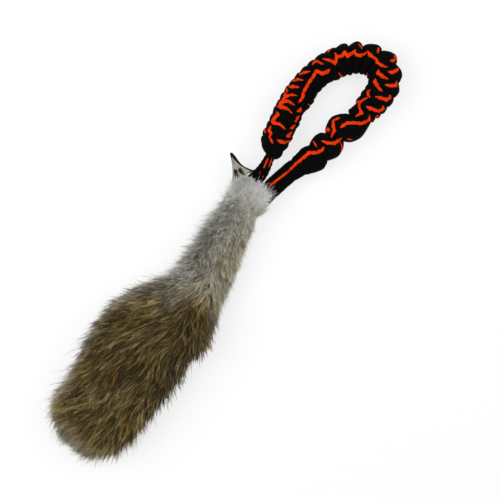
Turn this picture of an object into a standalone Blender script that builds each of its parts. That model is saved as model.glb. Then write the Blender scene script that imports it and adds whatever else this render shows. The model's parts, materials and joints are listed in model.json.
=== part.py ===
# Bungee tug toy: a rabbit skin wrapped round a webbing core, on a handle loop of tubular
# webbing that is gathered over an elastic cord. The toy lies flat: +X runs from the fur's
# tail end to the handle, +Y is its left side seen from above, and Z is 0 on the floor.
from math import cos, floor, hypot, pi, radians, sin, tan

import bpy
import bmesh
from mathutils import Vector

# Fits
GAP = 0.0003

# Pelt: where it lies and its outer size without the long hair
TAIL_X = -0.311
PELT_LENGTH = 0.393
PELT_WIDTH = 0.1185
PELT_THICKNESS = 0.058
HIDE_WALL = 0.0022
FLAT_DEPTH = 0.0009
MOUTH_SLANT_SHARE = 0.15
SECTION_SIDES = 32
SECTION_SQUARENESS = 2.3
RING_PITCH = 0.014
HIDE_SMOOTH_DEGREES = 40
TAIL_STATIONS = 4
TAIL_CAP_RINGS = 2
TAIL_UNFILLED_RINGS = 3

# Stations from the tail to the mouth: place along the pelt's length, then the right edge, the
# left edge and the thickness, as shares of PELT_LENGTH, PELT_WIDTH, PELT_WIDTH, PELT_THICKNESS
PELT_STATION_SHARES = (
    (0.000, -0.10, 0.05, 0.22),
    (0.012, -0.25, 0.21, 0.52),
    (0.045, -0.38, 0.36, 0.80),
    (0.095, -0.44, 0.42, 0.94),
    (0.170, -0.46, 0.43, 0.98),
    (0.250, -0.47, 0.49, 1.00),
    (0.320, -0.48, 0.54, 1.00),
    (0.415, -0.46, 0.53, 1.00),
    (0.465, -0.49, 0.48, 1.00),
    (0.505, -0.49, 0.42, 0.97),
    (0.545, -0.43, 0.33, 0.91),
    (0.600, -0.38, 0.24, 0.82),
    (0.645, -0.35, 0.21, 0.76),
    (0.710, -0.30, 0.21, 0.72),
    (0.775, -0.24, 0.22, 0.68),
    (0.840, -0.17, 0.22, 0.64),
    (0.900, -0.16, 0.23, 0.56),
    (0.935, -0.17, 0.265, 0.50),
    (0.962, -0.18, 0.278, 0.45),
    (1.000, -0.185, 0.235, 0.41),
)

# The mouth of the neck, where the handle comes out: the straps, the loop and the flap are
# placed from it, and the flap also from the neck's widest left edge
MOUTH_X = TAIL_X + PELT_LENGTH
NECK_EDGE_Y = PELT_WIDTH * max(row[2] for row in PELT_STATION_SHARES[-4:])

# Soft joints of the pelt: the bend behind the neck and the fold of the tail
BEND_SHARE = 0.604
BEND_DEGREES = 40
FOLD_SHARE = 0.293
FOLD_DEGREES = 60
JOINT_CLEARANCE = 0.0008

# Webbing: the flat core inside the pelt and the tubular webbing of the handle
CORE_WIDTH = 0.025
CORE_THICKNESS = 0.0026
CORE_END_INSET = 0.040
STRAP_HEIGHT = 0.0195
STRAP_RIGHT_WIDTH = 0.024
STRAP_RIGHT_THICKNESS = 0.0028
STRAP_LEFT_WIDTH = 0.0145
STRAP_LEFT_THICKNESS = 0.0050
STRAP_HOLD_LENGTH = 0.052
STRAP_EXIT_INSET = 0.004
STRAP_FREE_LENGTH = 0.041
STRAP_INNER_LEFT_Y = 0.0162
STRAP_INNER_RIGHT_Y = -0.0033
STRAP_EXIT_LEFT_Y = 0.0140
STRAP_EXIT_RIGHT_Y = -0.0062
STRAP_HELD_STEPS = 3
STRAP_FREE_STEPS = 6
STRAP_INNER_END_X = MOUTH_X - STRAP_HOLD_LENGTH
STRAP_EXIT_X = MOUTH_X - STRAP_EXIT_INSET

# Handle loop: centre line of the gathered webbing from the left strap round to the right one,
# as shares of LOOP_LENGTH ahead of LOOP_X and of LOOP_WIDTH aside of the middle
LOOP_X = MOUTH_X + STRAP_FREE_LENGTH
LOOP_LENGTH = 0.168
LOOP_WIDTH = 0.078
LOOP_POINT_SHARES = (
    (0.000, 0.265),
    (0.080, 0.315),
    (0.200, 0.375),
    (0.350, 0.440),
    (0.500, 0.465),
    (0.650, 0.455),
    (0.770, 0.400),
    (0.870, 0.300),
    (0.950, 0.150),
    (1.000, -0.050),
    (1.005, -0.250),
    (0.955, -0.440),
    (0.860, -0.555),
    (0.740, -0.585),
    (0.600, -0.560),
    (0.450, -0.470),
    (0.300, -0.390),
    (0.150, -0.330),
    (0.060, -0.250),
    (0.000, -0.190),
)
LOOP_SAMPLES = 480
HEADING_SAMPLES = 4
GRIP_FROM_SHARE = 0.6488
SLEEVE_SIDES = 16
SLEEVE_SQUARENESS = 2.3
SLEEVE_REACH = 0.024
SLEEVE_HALF_HEIGHT = 0.019
SLEEVE_START_SHARE = 0.45
FOLD_STEP_SHARES = (0.0, 0.22, 0.5, 0.78)
FOLD_TOP_DEPTH_SHARE = 0.12
FOLD_NUMBER_TOLERANCE = 0.0003
SLEEVE_SMOOTH_DEGREES = 50
BORE_PITCH = 0.0115
BUNGEE_RADIUS = 0.0050
BUNGEE_INSET = 0.020

# Folds of the gathered webbing from the left strap round to the right one, as shares: where each
# starts on the outer and the inner edge along the loop, how far it stands out there as shares of
# SLEEVE_REACH, its half height as a share of SLEEVE_HALF_HEIGHT, and how deep the valley before
# it is at the outer and the inner edge
FOLD_SHARES = (
    (0.000, 0.000, 0.54, 0.67, 0.82, 0.00, 0.00),
    (0.023, 0.031, 0.69, 0.80, 0.92, 0.14, 0.08),
    (0.049, 0.059, 0.73, 0.84, 0.96, 0.10, 0.06),
    (0.075, 0.085, 0.70, 0.82, 0.96, 0.09, 0.05),
    (0.101, 0.111, 0.70, 0.87, 0.97, 0.08, 0.05),
    (0.124, 0.137, 0.72, 0.83, 0.97, 0.09, 0.05),
    (0.150, 0.160, 0.72, 0.78, 0.97, 0.08, 0.05),
    (0.173, 0.186, 0.73, 0.89, 0.98, 0.09, 0.05),
    (0.197, 0.210, 0.75, 0.90, 0.98, 0.09, 0.05),
    (0.222, 0.235, 0.73, 0.82, 0.97, 0.09, 0.05),
    (0.248, 0.261, 0.70, 0.83, 0.97, 0.10, 0.06),
    (0.274, 0.285, 0.68, 0.83, 0.97, 0.09, 0.05),
    (0.300, 0.308, 0.66, 0.86, 0.99, 0.10, 0.06),
    (0.328, 0.339, 0.65, 1.00, 1.00, 0.12, 0.07),
    (0.362, 0.375, 0.66, 0.97, 1.00, 0.13, 0.08),
    (0.396, 0.409, 0.72, 0.97, 1.00, 0.14, 0.08),
    (0.429, 0.442, 0.78, 0.89, 1.00, 0.34, 0.10),
    (0.466, 0.476, 0.83, 0.82, 1.00, 0.30, 0.10),
    (0.510, 0.510, 0.86, 0.75, 1.00, 0.20, 0.10),
    (0.546, 0.535, 0.94, 0.70, 1.00, 0.14, 0.10),
    (0.582, 0.561, 0.96, 0.68, 1.00, 0.14, 0.08),
    (0.616, 0.592, 0.83, 0.77, 1.00, 0.13, 0.08),
    (0.641, 0.623, 0.76, 0.83, 0.99, 0.12, 0.07),
    (0.667, 0.657, 0.69, 0.81, 0.98, 0.12, 0.07),
    (0.685, 0.693, 0.61, 0.73, 0.96, 0.14, 0.08),
    (0.704, 0.737, 0.78, 1.00, 1.00, 0.30, 0.40),
    (0.807, 0.838, 0.82, 0.78, 1.00, 0.58, 0.42),
    (0.892, 0.900, 0.77, 0.78, 0.92, 0.24, 0.20),
    (0.949, 0.967, 0.54, 0.57, 0.47, 0.08, 0.05),
    (1.000, 1.000, 0.54, 0.38, 0.42, 0.00, 0.00),
)

# Threads
THREAD_RADIUS = 0.0007
SEAM_PITCH = 0.0055
SEAM_HALF_WIDTH = 0.0030
SEAM_DEGREES = -38
SEAM_END_INSET = 0.006
SEAM_START_SHARE = 0.045
SEAM_LIFT = 0.0008
ANCHOR_PITCH = 0.0045
ANCHOR_LENGTH = 0.034
ANCHOR_WIDTH_SHARE = 0.62
TACK_LENGTH_SHARE = 0.72
TACK_RADIUS = 0.0011
TACK_INSET = 0.0040

# Hide flap at the mouth: a bare corner of the skin with a webbing backing. Its points are ahead
# of the mouth and out from the neck's left edge
FLAP_ROOT_REAR_OFFSET = (-0.0145, 0.0033)
FLAP_ROOT_FRONT_OFFSET = (0.0095, -0.0053)
FLAP_TIP_OFFSET = (0.0092, 0.0231)
FLAP_THICKNESS = 0.0022
FLAP_BACKING_THICKNESS = 0.0022
FLAP_BACKING_RIM = 0.0013
FLAP_BACKING_TIP_RIM = 0.0052
FLAP_BACKING_SETBACK = 0.0055
FLAP_CURVE = 0.0022
FLAP_EDGE_POINTS = 7
SLIT_LENGTH = 0.0085
SLIT_WIDTH = 0.0024
SLIT_FRONT_OFFSET = (0.0028, 0.0029)
SLIT_FRONT_DEGREES = 75
SLIT_REAR_OFFSET = (-0.0026, 0.0061)
SLIT_REAR_DEGREES = 55
CUT_OVERRUN = 0.001
STITCHES = (
    ("front", SLIT_FRONT_OFFSET, SLIT_FRONT_DEGREES),
    ("rear", SLIT_REAR_OFFSET, SLIT_REAR_DEGREES),
)


def material(name, color, roughness, metallic=0.0):
    made = bpy.data.materials.new(name)
    made.use_nodes = True
    shader = made.node_tree.nodes["Principled BSDF"]
    shader.inputs["Base Color"].default_value = (*color, 1.0)
    shader.inputs["Roughness"].default_value = roughness
    shader.inputs["Metallic"].default_value = metallic
    return made


def place_object(name, data, look, parent):
    made = bpy.data.objects.new(name, data)
    bpy.context.scene.collection.objects.link(made)
    data.materials.append(look)
    if parent is not None:
        made.parent = parent
        made.matrix_parent_inverse = parent.matrix_world.inverted()
    return made


def add_object(name, mesh, look, parent=None, smooth_degrees=None):
    if smooth_degrees is not None:
        mesh.shade_smooth()
        mesh.set_sharp_from_angle(angle=radians(smooth_degrees))
    return place_object(name, mesh, look, parent)


def joint_empty(name, place):
    made = bpy.data.objects.new(name, None)
    bpy.context.scene.collection.objects.link(made)
    made.location = place
    bpy.context.view_layer.update()
    return made


def rings_to_mesh(name, rings, is_loop=False):
    # Joins rings of equal count, one after another; a loop joins its last ring to its first
    shape = bmesh.new()
    rows = [[shape.verts.new(point) for point in ring] for ring in rings]
    count = len(rows[0])
    pairs = list(zip(rows, rows[1:]))
    if is_loop:
        pairs.append((rows[-1], rows[0]))
    for near, far in pairs:
        for i in range(count):
            j = (i + 1) % count
            shape.faces.new((near[i], near[j], far[j], far[i]))
    if not is_loop:
        shape.faces.new(rows[0][::-1])
        shape.faces.new(rows[-1])
    bmesh.ops.recalc_face_normals(shape, faces=shape.faces)
    mesh = bpy.data.meshes.new(name)
    shape.to_mesh(mesh)
    shape.free()
    return mesh


def smooth_value(table, column, share):
    # Cubic curve through a column of a table whose first column holds the places
    places = [row[0] for row in table]
    values = [row[column] for row in table]
    last = len(table) - 1
    share = min(max(share, places[0]), places[-1])
    i = max(k for k in range(last) if places[k] <= share)

    def slope(k):
        low, high = max(k - 1, 0), min(k + 1, last)
        return (values[high] - values[low]) / (places[high] - places[low])

    step = places[i + 1] - places[i]
    t = (share - places[i]) / step
    blend = t * t * (3 - 2 * t)
    rise = slope(i) * step * t * (1 - t) * (1 - t)
    fall = slope(i + 1) * step * t * t * (1 - t)
    return values[i] + (values[i + 1] - values[i]) * blend + rise - fall


# Pelt sections
def pelt_section(x):
    # Middle, half width and half thickness of the pelt's outer surface at one place
    share = (x - TAIL_X) / PELT_LENGTH
    right = smooth_value(PELT_STATION_SHARES, 1, share) * PELT_WIDTH
    left = smooth_value(PELT_STATION_SHARES, 2, share) * PELT_WIDTH
    half_thickness = smooth_value(PELT_STATION_SHARES, 3, share) * PELT_THICKNESS / 2
    height = max(half_thickness - FLAT_DEPTH, STRAP_HEIGHT)
    return (right + left) / 2, (left - right) / 2, half_thickness, height


def rounded(angle, squareness):
    power = 2 / squareness
    across = abs(cos(angle)) ** power * (1 if cos(angle) >= 0 else -1)
    up = abs(sin(angle)) ** power * (1 if sin(angle) >= 0 else -1)
    return across, up


def mouth_shift(x, across):
    # The mouth of the neck is cut on a slant that fades out towards the inner ends of the straps
    reach = max(0.0, (x - STRAP_INNER_END_X) / STRAP_HOLD_LENGTH)
    return MOUTH_SLANT_SHARE * reach * across


def pelt_ring(x, inset):
    middle, half_width, half_thickness, height = pelt_section(x)
    ring = []
    for i in range(SECTION_SIDES):
        across, up = rounded(2 * pi * i / SECTION_SIDES, SECTION_SQUARENESS)
        across *= half_width - inset
        z = max(height + up * (half_thickness - inset), inset)
        ring.append((x + mouth_shift(x, across), middle + across, z))
    return ring


def slot_ring(x, middle, height, width, thickness):
    ring = []
    for i in range(SECTION_SIDES):
        angle = 2 * pi * i / SECTION_SIDES
        reach = max(abs(cos(angle)), abs(sin(angle)))
        across = cos(angle) / reach * width / 2
        ring.append((x, middle + across, height + sin(angle) / reach * thickness / 2))
    return ring


def stations(start, end, pitch):
    count = max(2, round((end - start) / pitch))
    return [start + (end - start) * i / count for i in range(count + 1)]


def hide_tube(name, start, end, look, parent=None):
    # An open stretch of hide with its wall
    places = stations(start, end, RING_PITCH)
    outer = [pelt_ring(x, 0.0) for x in places]
    inner = [pelt_ring(x, HIDE_WALL) for x in reversed(places)]
    mesh = rings_to_mesh(name, outer + inner, is_loop=True)
    return add_object(name, mesh, look, parent, HIDE_SMOOTH_DEGREES)


def tail_places(end):
    # Stations crowd where the tail rounds off
    crowd = [TAIL_X + row[0] * PELT_LENGTH for row in PELT_STATION_SHARES[:TAIL_STATIONS]]
    between = (crowd[TAIL_CAP_RINGS - 1] + crowd[TAIL_CAP_RINGS]) / 2
    crowd.insert(TAIL_CAP_RINGS, between)
    return crowd + stations(crowd[-1], end, RING_PITCH)[1:]


def hide_end(name, end, look, parent=None):
    # The closed tail of the hide
    places = tail_places(end)
    outer = [pelt_ring(x, 0.0) for x in places]
    inner = [pelt_ring(x, HIDE_WALL) for x in reversed(places[TAIL_CAP_RINGS:])]
    return add_object(name, rings_to_mesh(name, outer + inner), look, parent, HIDE_SMOOTH_DEGREES)


def core_line(x):
    # The core webbing lies midway in the pelt, and under the handle's straps in the neck
    middle = pelt_section(x)[0]
    height = STRAP_HEIGHT - (STRAP_LEFT_THICKNESS + CORE_THICKNESS) / 2 - GAP
    return middle, height


def filling(name, places, look, parent=None):
    # Fibre that fills the hide, with a slot through it for the core webbing
    outer = [pelt_ring(x, HIDE_WALL + GAP) for x in places]
    slot_width = CORE_WIDTH + 2 * GAP
    slot_thickness = CORE_THICKNESS + 2 * GAP
    inner = [slot_ring(x, *core_line(x), slot_width, slot_thickness) for x in reversed(places)]
    mesh = rings_to_mesh(name, outer + inner, is_loop=True)
    return add_object(name, mesh, look, parent, HIDE_SMOOTH_DEGREES)


def strip_ring(place, side, height, width, thickness):
    across = Vector((side[0], side[1], 0.0)) * width / 2
    base = Vector((place[0], place[1], height))
    up = Vector((0.0, 0.0, thickness / 2))
    return [base - across - up, base + across - up, base + across + up, base - across + up]


def core_strip(name, start, end, look, parent=None):
    places = stations(start, end, RING_PITCH)
    rings = []
    for x in places:
        middle, height = core_line(x)
        rings.append(strip_ring((x, middle), (0, 1), height, CORE_WIDTH, CORE_THICKNESS))
    return add_object(name, rings_to_mesh(name, rings), look, parent)


# Threads
def thread_tube(name, points, radius, look, parent=None):
    curve = bpy.data.curves.new(name, "CURVE")
    curve.dimensions = "3D"
    line = curve.splines.new("POLY")
    line.points.add(len(points) - 1)
    for place, point in zip(line.points, points):
        place.co = (*point, 1.0)
    curve.bevel_depth = radius
    curve.bevel_resolution = 1
    curve.use_fill_caps = True
    return place_object(name, curve, look, parent)


def seam_thread(name, start, end, look, parent=None):
    # Whip stitches that close the wrapped hide low on its right side
    places = stations(start + SEAM_END_INSET, end - SEAM_END_INSET, SEAM_PITCH)
    points = []
    for i, x in enumerate(places):
        middle, half_width, half_thickness, height = pelt_section(x)
        side = SEAM_HALF_WIDTH if i % 2 else -SEAM_HALF_WIDTH
        angle = pi - radians(SEAM_DEGREES) + side / half_thickness
        across, up = rounded(angle, SECTION_SQUARENESS)
        lift = THREAD_RADIUS + SEAM_LIFT
        y = middle + across * (half_width + lift)
        z = height + up * (half_thickness + lift)
        points.append((x + mouth_shift(x, across * half_width), y, z))
    return thread_tube(name, points, THREAD_RADIUS, look, parent)


# Handle path
def loop_curve():
    # Smooth centre line through the loop's points, with the distance run along it
    control = []
    for ahead, aside in LOOP_POINT_SHARES:
        control.append((LOOP_X + ahead * LOOP_LENGTH, aside * LOOP_WIDTH))
    table = []
    run = 0.0
    for i, point in enumerate(control):
        if i:
            run += hypot(point[0] - control[i - 1][0], point[1] - control[i - 1][1])
        table.append((run, point[0], point[1]))
    samples = []
    run = 0.0
    for i in range(LOOP_SAMPLES + 1):
        at = table[-1][0] * i / LOOP_SAMPLES
        x, y = smooth_value(table, 1, at), smooth_value(table, 2, at)
        if samples:
            run += hypot(x - samples[-1][1], y - samples[-1][2])
        samples.append((run, x, y))
    return samples


LOOP_CURVE = loop_curve()
LOOP_RUN = LOOP_CURVE[-1][0]


def loop_place(run):
    # Point and heading on the loop's centre line at a distance along it
    run = min(max(run, 0.0), LOOP_RUN)
    i = min(max(k for k in range(LOOP_SAMPLES) if LOOP_CURVE[k][0] <= run), LOOP_SAMPLES - 1)
    near, far = LOOP_CURVE[i], LOOP_CURVE[i + 1]
    t = (run - near[0]) / (far[0] - near[0])
    before = LOOP_CURVE[max(i - HEADING_SAMPLES, 0)]
    after = LOOP_CURVE[min(i + 1 + HEADING_SAMPLES, LOOP_SAMPLES)]
    step = hypot(after[1] - before[1], after[2] - before[2])
    heading = ((after[1] - before[1]) / step, (after[2] - before[2]) / step)
    return near[1] + (far[1] - near[1]) * t, near[2] + (far[2] - near[2]) * t, heading


def run_at_x(x, from_end):
    # Distance along the loop where a leg passes a given place
    order = reversed(LOOP_CURVE) if from_end else LOOP_CURVE
    return next(sample[0] for sample in order if sample[1] >= x)


def off_centre(run, aside, up):
    # A point to the side of the loop's centre line (the loop's outer side counts up) and above it
    x, y, heading = loop_place(run)
    return x - heading[1] * aside, y + heading[0] * aside, STRAP_HEIGHT + up


def tube_ring(run, radius):
    angles = [2 * pi * i / SLEEVE_SIDES for i in range(SLEEVE_SIDES)]
    return [off_centre(run, radius * cos(angle), radius * sin(angle)) for angle in angles]


def fold_value(column, count):
    # A column of the folds' table at a fold number, straight between the rows
    i = min(max(floor(count), 0), len(FOLD_SHARES) - 2)
    share = min(max(count - i, 0.0), 1.0)
    return FOLD_SHARES[i][column] * (1 - share) + FOLD_SHARES[i + 1][column] * share


def fold_run(count, angle):
    # Folds lie aslant: a fold number is at one place on the outer edge and another on the inner
    inner_share = (1 - cos(angle)) / 2
    return LOOP_RUN * (fold_value(0, count) * (1 - inner_share) + fold_value(1, count) * inner_share)


def fold_point(count, angle, run):
    # Full over the middle of a fold, drawn in where two folds meet
    outer_side = cos(angle) > 0
    bulge = sin(pi * (count - floor(count)))
    depth = fold_value(5 if outer_side else 6, count)
    crest = fold_value(2 if outer_side else 3, count - 0.5) * SLEEVE_REACH
    across, up = rounded(angle, SLEEVE_SQUARENESS)
    rise = fold_value(4, count - 0.5) * SLEEVE_HALF_HEIGHT
    start = 1.0 if count > 0 else SLEEVE_START_SHARE
    aside = across * crest * (1 - depth * (1 - bulge)) * start
    return off_centre(run, aside, up * rise * (1 - FOLD_TOP_DEPTH_SHARE * (1 - bulge)) * start)


def fold_counts(start, end, angles):
    # Numbers of the fold rings that lie wholly between two places along the loop
    counts = [i + share for i in range(len(FOLD_SHARES) - 1) for share in FOLD_STEP_SHARES]
    clear = BUNGEE_RADIUS / 2
    kept = []
    for count in counts:
        runs = [fold_run(count, angle) for angle in angles]
        if min(runs) > start + clear and max(runs) < end - clear:
            kept.append(count)
    return kept


def square_ring(run, angles):
    # The square end of a sleeve: each point takes the fold number that it has at that place
    ring = []
    for angle in angles:
        low, high = 0.0, float(len(FOLD_SHARES) - 1)
        while high - low > FOLD_NUMBER_TOLERANCE:
            middle = (low + high) / 2
            if fold_run(middle, angle) < run:
                low = middle
            else:
                high = middle
        ring.append(fold_point(0.0 if run == 0.0 else high, angle, run))
    return ring


def sleeve(name, start, end, look, parent=None):
    # Gathered webbing with the bore of its elastic cord through it
    angles = [2 * pi * i / SLEEVE_SIDES for i in range(SLEEVE_SIDES)]
    outer = [square_ring(start, angles)]
    for count in fold_counts(start, end, angles):
        outer.append([fold_point(count, angle, fold_run(count, angle)) for angle in angles])
    outer.append(square_ring(end, angles))
    inner = [tube_ring(run, BUNGEE_RADIUS + GAP) for run in reversed(stations(start, end, BORE_PITCH))]
    mesh = rings_to_mesh(name, outer + inner, is_loop=True)
    return add_object(name, mesh, look, parent, SLEEVE_SMOOTH_DEGREES)


def bungee(name, start, end, bore_start, bore_end, look, parent=None):
    # The elastic cord shares its rings' places with the bore round it
    inside = [run for run in stations(bore_start, bore_end, BORE_PITCH) if start < run < end]
    runs = [start] + inside + [end]
    rings = [tube_ring(run, BUNGEE_RADIUS) for run in runs]
    return add_object(name, rings_to_mesh(name, rings), look, parent, SLEEVE_SMOOTH_DEGREES)


# Straps
def strap(name, route, width, thickness, look, end_heading):
    # A flat strap; its far end is square to the given heading
    rings = []
    for i, place in enumerate(route):
        share = i / (len(route) - 1)
        lean = end_heading[1] / end_heading[0] * share
        side = (-lean / hypot(lean, 1), 1 / hypot(lean, 1))
        rings.append(strip_ring(place, side, STRAP_HEIGHT, width, thickness))
    return add_object(name, rings_to_mesh(name, rings), look)


def line_points(start, end, count):
    near, far = Vector(start), Vector(end)
    return [tuple(near.lerp(far, i / count)) for i in range(count + 1)]


def strap_ends(side):
    # Inner end, exit from the pelt and start of the gathers of one strap
    inner = (STRAP_INNER_END_X, STRAP_INNER_LEFT_Y if side > 0 else STRAP_INNER_RIGHT_Y)
    exit_y = STRAP_EXIT_LEFT_Y if side > 0 else STRAP_EXIT_RIGHT_Y
    leave = (STRAP_EXIT_X, exit_y)
    x, y, heading = loop_place(0.0 if side > 0 else LOOP_RUN)
    facing = 1 if side > 0 else -1
    start = (x - facing * heading[0] * GAP * 2, y - facing * heading[1] * GAP * 2)
    return inner, leave, start, heading


def zigzag(name, start, end, width, height, look):
    # Stitches that cross a strap from side to side
    run = hypot(end[0] - start[0], end[1] - start[1])
    count = round(run / ANCHOR_PITCH)
    side = (-(end[1] - start[1]) / run, (end[0] - start[0]) / run)
    points = []
    for i, place in enumerate(line_points(start, end, count)):
        swing = width / 2 if i % 2 else -width / 2
        points.append((place[0] + side[0] * swing, place[1] + side[1] * swing, height))
    return thread_tube(name, points, THREAD_RADIUS, look)


# Flap
def flap_place(offset):
    return Vector((MOUTH_X + offset[0], NECK_EDGE_Y + offset[1]))


def flap_axes():
    rear, front = flap_place(FLAP_ROOT_REAR_OFFSET), flap_place(FLAP_ROOT_FRONT_OFFSET)
    along = (front - rear).normalized()
    return rear, front, along, Vector((-along.y, along.x))


def flap_outline(setback, rim, tip_rim):
    # Root, then the front edge to the tip and back along the curved rear edge
    rear, front, along, outward = flap_axes()
    tip = flap_place(FLAP_TIP_OFFSET)
    points = [rear + outward * setback, front + outward * setback]
    for start, end, bow in ((front, tip, FLAP_CURVE / 2), (tip, rear, FLAP_CURVE)):
        edge = (end - start).normalized()
        aside = Vector((-edge.y, edge.x))
        for i in range(1, FLAP_EDGE_POINTS):
            share = i / FLAP_EDGE_POINTS
            inward = bow * 4 * share * (1 - share)
            point = start.lerp(end, share) + aside * (inward - rim)
            if (point - rear).dot(outward) > setback + GAP:
                points.append(point)
        if end is tip:
            points.append(tip + (tip - (rear + front) / 2).normalized() * tip_rim)
    return points


def plate(name, points, low, high):
    rings = [[(p.x, p.y, z) for p in points] for z in (low, high)]
    return rings_to_mesh(name, rings)


def apply_boolean(target, cutter, operation):
    change = target.modifiers.new(operation.lower(), "BOOLEAN")
    change.operation = operation
    change.solver = "EXACT"
    change.object = cutter
    cutter.hide_render = True
    cutter.display_type = "WIRE"


def flap_hide(look, cut_look, parent):
    rear, front, along, outward = flap_axes()
    half = FLAP_THICKNESS / 2
    mesh = plate("pelt_flap", flap_outline(0.0, 0.0, 0.0), STRAP_HEIGHT - half, STRAP_HEIGHT + half)
    made = add_object("pelt_flap", mesh, look, parent)
    roll = roll_mesh("flap_roll", rear, front, half)
    apply_boolean(made, add_object("flap_roll", roll, cut_look), "UNION")
    for end, offset, degrees in STITCHES:
        name = "slit_cut_" + end
        cutter = slit_mesh(name, offset, degrees, 0.0, half + CUT_OVERRUN)
        apply_boolean(made, add_object(name, cutter, cut_look), "DIFFERENCE")
    return made


def roll_mesh(name, rear, front, radius):
    # The flap's rounded root, a round rod along its hinge line
    rings = []
    along = (front - rear).normalized()
    for place in (rear, front):
        ring = []
        for i in range(SLEEVE_SIDES):
            angle = 2 * pi * i / SLEEVE_SIDES
            aside = radius * cos(angle)
            up = radius * sin(angle)
            ring.append((place.x - along.y * aside, place.y + along.x * aside, STRAP_HEIGHT + up))
        rings.append(ring)
    return rings_to_mesh(name, rings)


def slit_mesh(name, offset, degrees, inset, half_height):
    # A pointed oval prism for a stab slit, or drawn in by an inset for the thread in it
    direction = Vector((cos(radians(degrees)), sin(radians(degrees))))
    aside = Vector((-direction.y, direction.x))
    long, wide = SLIT_LENGTH / 2 - inset, SLIT_WIDTH / 2 - inset
    points = []
    for i in range(SLEEVE_SIDES):
        angle = 2 * pi * i / SLEEVE_SIDES
        points.append(flap_place(offset) + direction * cos(angle) * long + aside * sin(angle) * wide)
    return plate(name, points, STRAP_HEIGHT - half_height, STRAP_HEIGHT + half_height)


# Looks
def make_looks():
    return {
        "grey_hide": material("grey_hide", (0.23, 0.22, 0.17), 0.9),
        "brown_hide": material("brown_hide", (0.08, 0.055, 0.024), 0.92),
        "suede": material("suede", (0.25, 0.24, 0.2), 0.95),
        "webbing": material("webbing", (0.004, 0.0045, 0.005), 0.75),
        "core_webbing": material("core_webbing", (0.012, 0.012, 0.013), 0.8),
        "elastic": material("elastic", (0.03, 0.03, 0.032), 0.7),
        "fibre": material("fibre", (0.7, 0.68, 0.62), 0.95),
        "thread": material("thread", (0.05, 0.035, 0.015), 0.7),
        "cutter": material("cutter", (0.5, 0.5, 0.5), 0.5),
    }


# Assembly
def build_pelt(looks, spans, body, tail):
    # Hide, with short soft stretches at the bend and the fold
    grey, brown = looks["grey_hide"], looks["brown_hide"]
    bend_rear, bend_front, fold_rear, fold_front = spans
    hide_tube("pelt_neck", bend_front, MOUTH_X, grey)
    hide_tube("pelt_bend", bend_rear + GAP, bend_front - GAP, brown)
    hide_tube("pelt_body", fold_front, bend_rear, brown, body)
    hide_tube("pelt_fold", fold_rear + GAP, fold_front - GAP, brown, body)
    hide_end("pelt_tail", fold_rear, brown, tail)

    thread = looks["thread"]
    seam_thread("seam_neck", bend_front, MOUTH_X, thread)
    seam_thread("seam_body", fold_front, bend_rear, thread, body)
    seam_thread("seam_tail", TAIL_X + SEAM_START_SHARE * PELT_LENGTH, fold_rear, thread, tail)


def build_inside(looks, spans, body, tail):
    # Fibre and core webbing inside the hide
    fibre, core = looks["fibre"], looks["core_webbing"]
    bend_rear, bend_front, fold_rear, fold_front = spans
    neck_places = stations(bend_front, MOUTH_X, RING_PITCH)
    filling("filling_neck", [x for x in neck_places if x < STRAP_INNER_END_X], fibre)
    filling("filling_body", stations(fold_front, bend_rear, RING_PITCH), fibre, body)
    filling("filling_tail", tail_places(fold_rear)[TAIL_UNFILLED_RINGS:], fibre, tail)
    core_strip("core_neck", bend_front, STRAP_EXIT_X, core)
    core_strip("core_bend", bend_rear + GAP, bend_front - GAP, core)
    core_strip("core_body", fold_front, bend_rear, core, body)
    core_strip("core_fold", fold_rear + GAP, fold_front - GAP, core, body)
    core_strip("core_tail", TAIL_X + CORE_END_INSET, fold_rear, core, tail)


def build_strap(side, sign, width, thickness, looks, handle):
    # One strap: its end held in the neck, its free stretch, its stitching and its bar tack
    web, thread = looks["webbing"], looks["thread"]
    inner, leave, start, heading = strap_ends(sign)
    held = line_points(inner, leave, STRAP_HELD_STEPS)
    strap("strap_end_" + side, held, width, thickness, web, (1, 0))
    free = line_points((leave[0] + 2 * GAP, leave[1]), start, STRAP_FREE_STEPS)
    strap("strap_" + side, free, width, thickness, web, heading)

    slope = (leave[1] - inner[1]) / (leave[0] - inner[0])
    sewn_from = (inner[0] + THREAD_RADIUS * 2, inner[1])
    sewn_to = (inner[0] + ANCHOR_LENGTH, inner[1] + slope * ANCHOR_LENGTH)
    height = STRAP_HEIGHT + thickness / 2 + THREAD_RADIUS + GAP
    zigzag("anchor_stitch_" + side, sewn_from, sewn_to, width * ANCHOR_WIDTH_SHARE, height, thread)

    height = STRAP_HEIGHT + thickness / 2 + TACK_RADIUS + GAP
    half = width * TACK_LENGTH_SHARE / 2
    x = start[0] - sign * heading[0] * TACK_INSET
    y = start[1] - sign * heading[1] * TACK_INSET
    ends = [(x - heading[1] * half * way, y + heading[0] * half * way, height) for way in (-1, 1)]
    thread_tube("bar_tack_" + side, ends, TACK_RADIUS, thread, handle)


def build_gathers(looks, grip_x, handle, grip):
    # Gathered sleeve and elastic cord, cut square where the handle stretches
    web, elastic = looks["webbing"], looks["elastic"]
    left_cut, right_cut = run_at_x(grip_x, False), run_at_x(grip_x, True)
    sleeve("sleeve_left", 0.0, left_cut - GAP, web, handle)
    sleeve("sleeve_grip", left_cut, right_cut, web, grip)
    sleeve("sleeve_right", right_cut + GAP, LOOP_RUN, web, handle)
    bungee("bungee_left", BUNGEE_INSET, left_cut - GAP, 0.0, left_cut - GAP, elastic, handle)
    bungee("bungee_grip", left_cut, right_cut, left_cut, right_cut, elastic, grip)
    far_end = LOOP_RUN - BUNGEE_INSET
    bungee("bungee_right", right_cut + GAP, far_end, right_cut + GAP, LOOP_RUN, elastic, handle)


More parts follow.
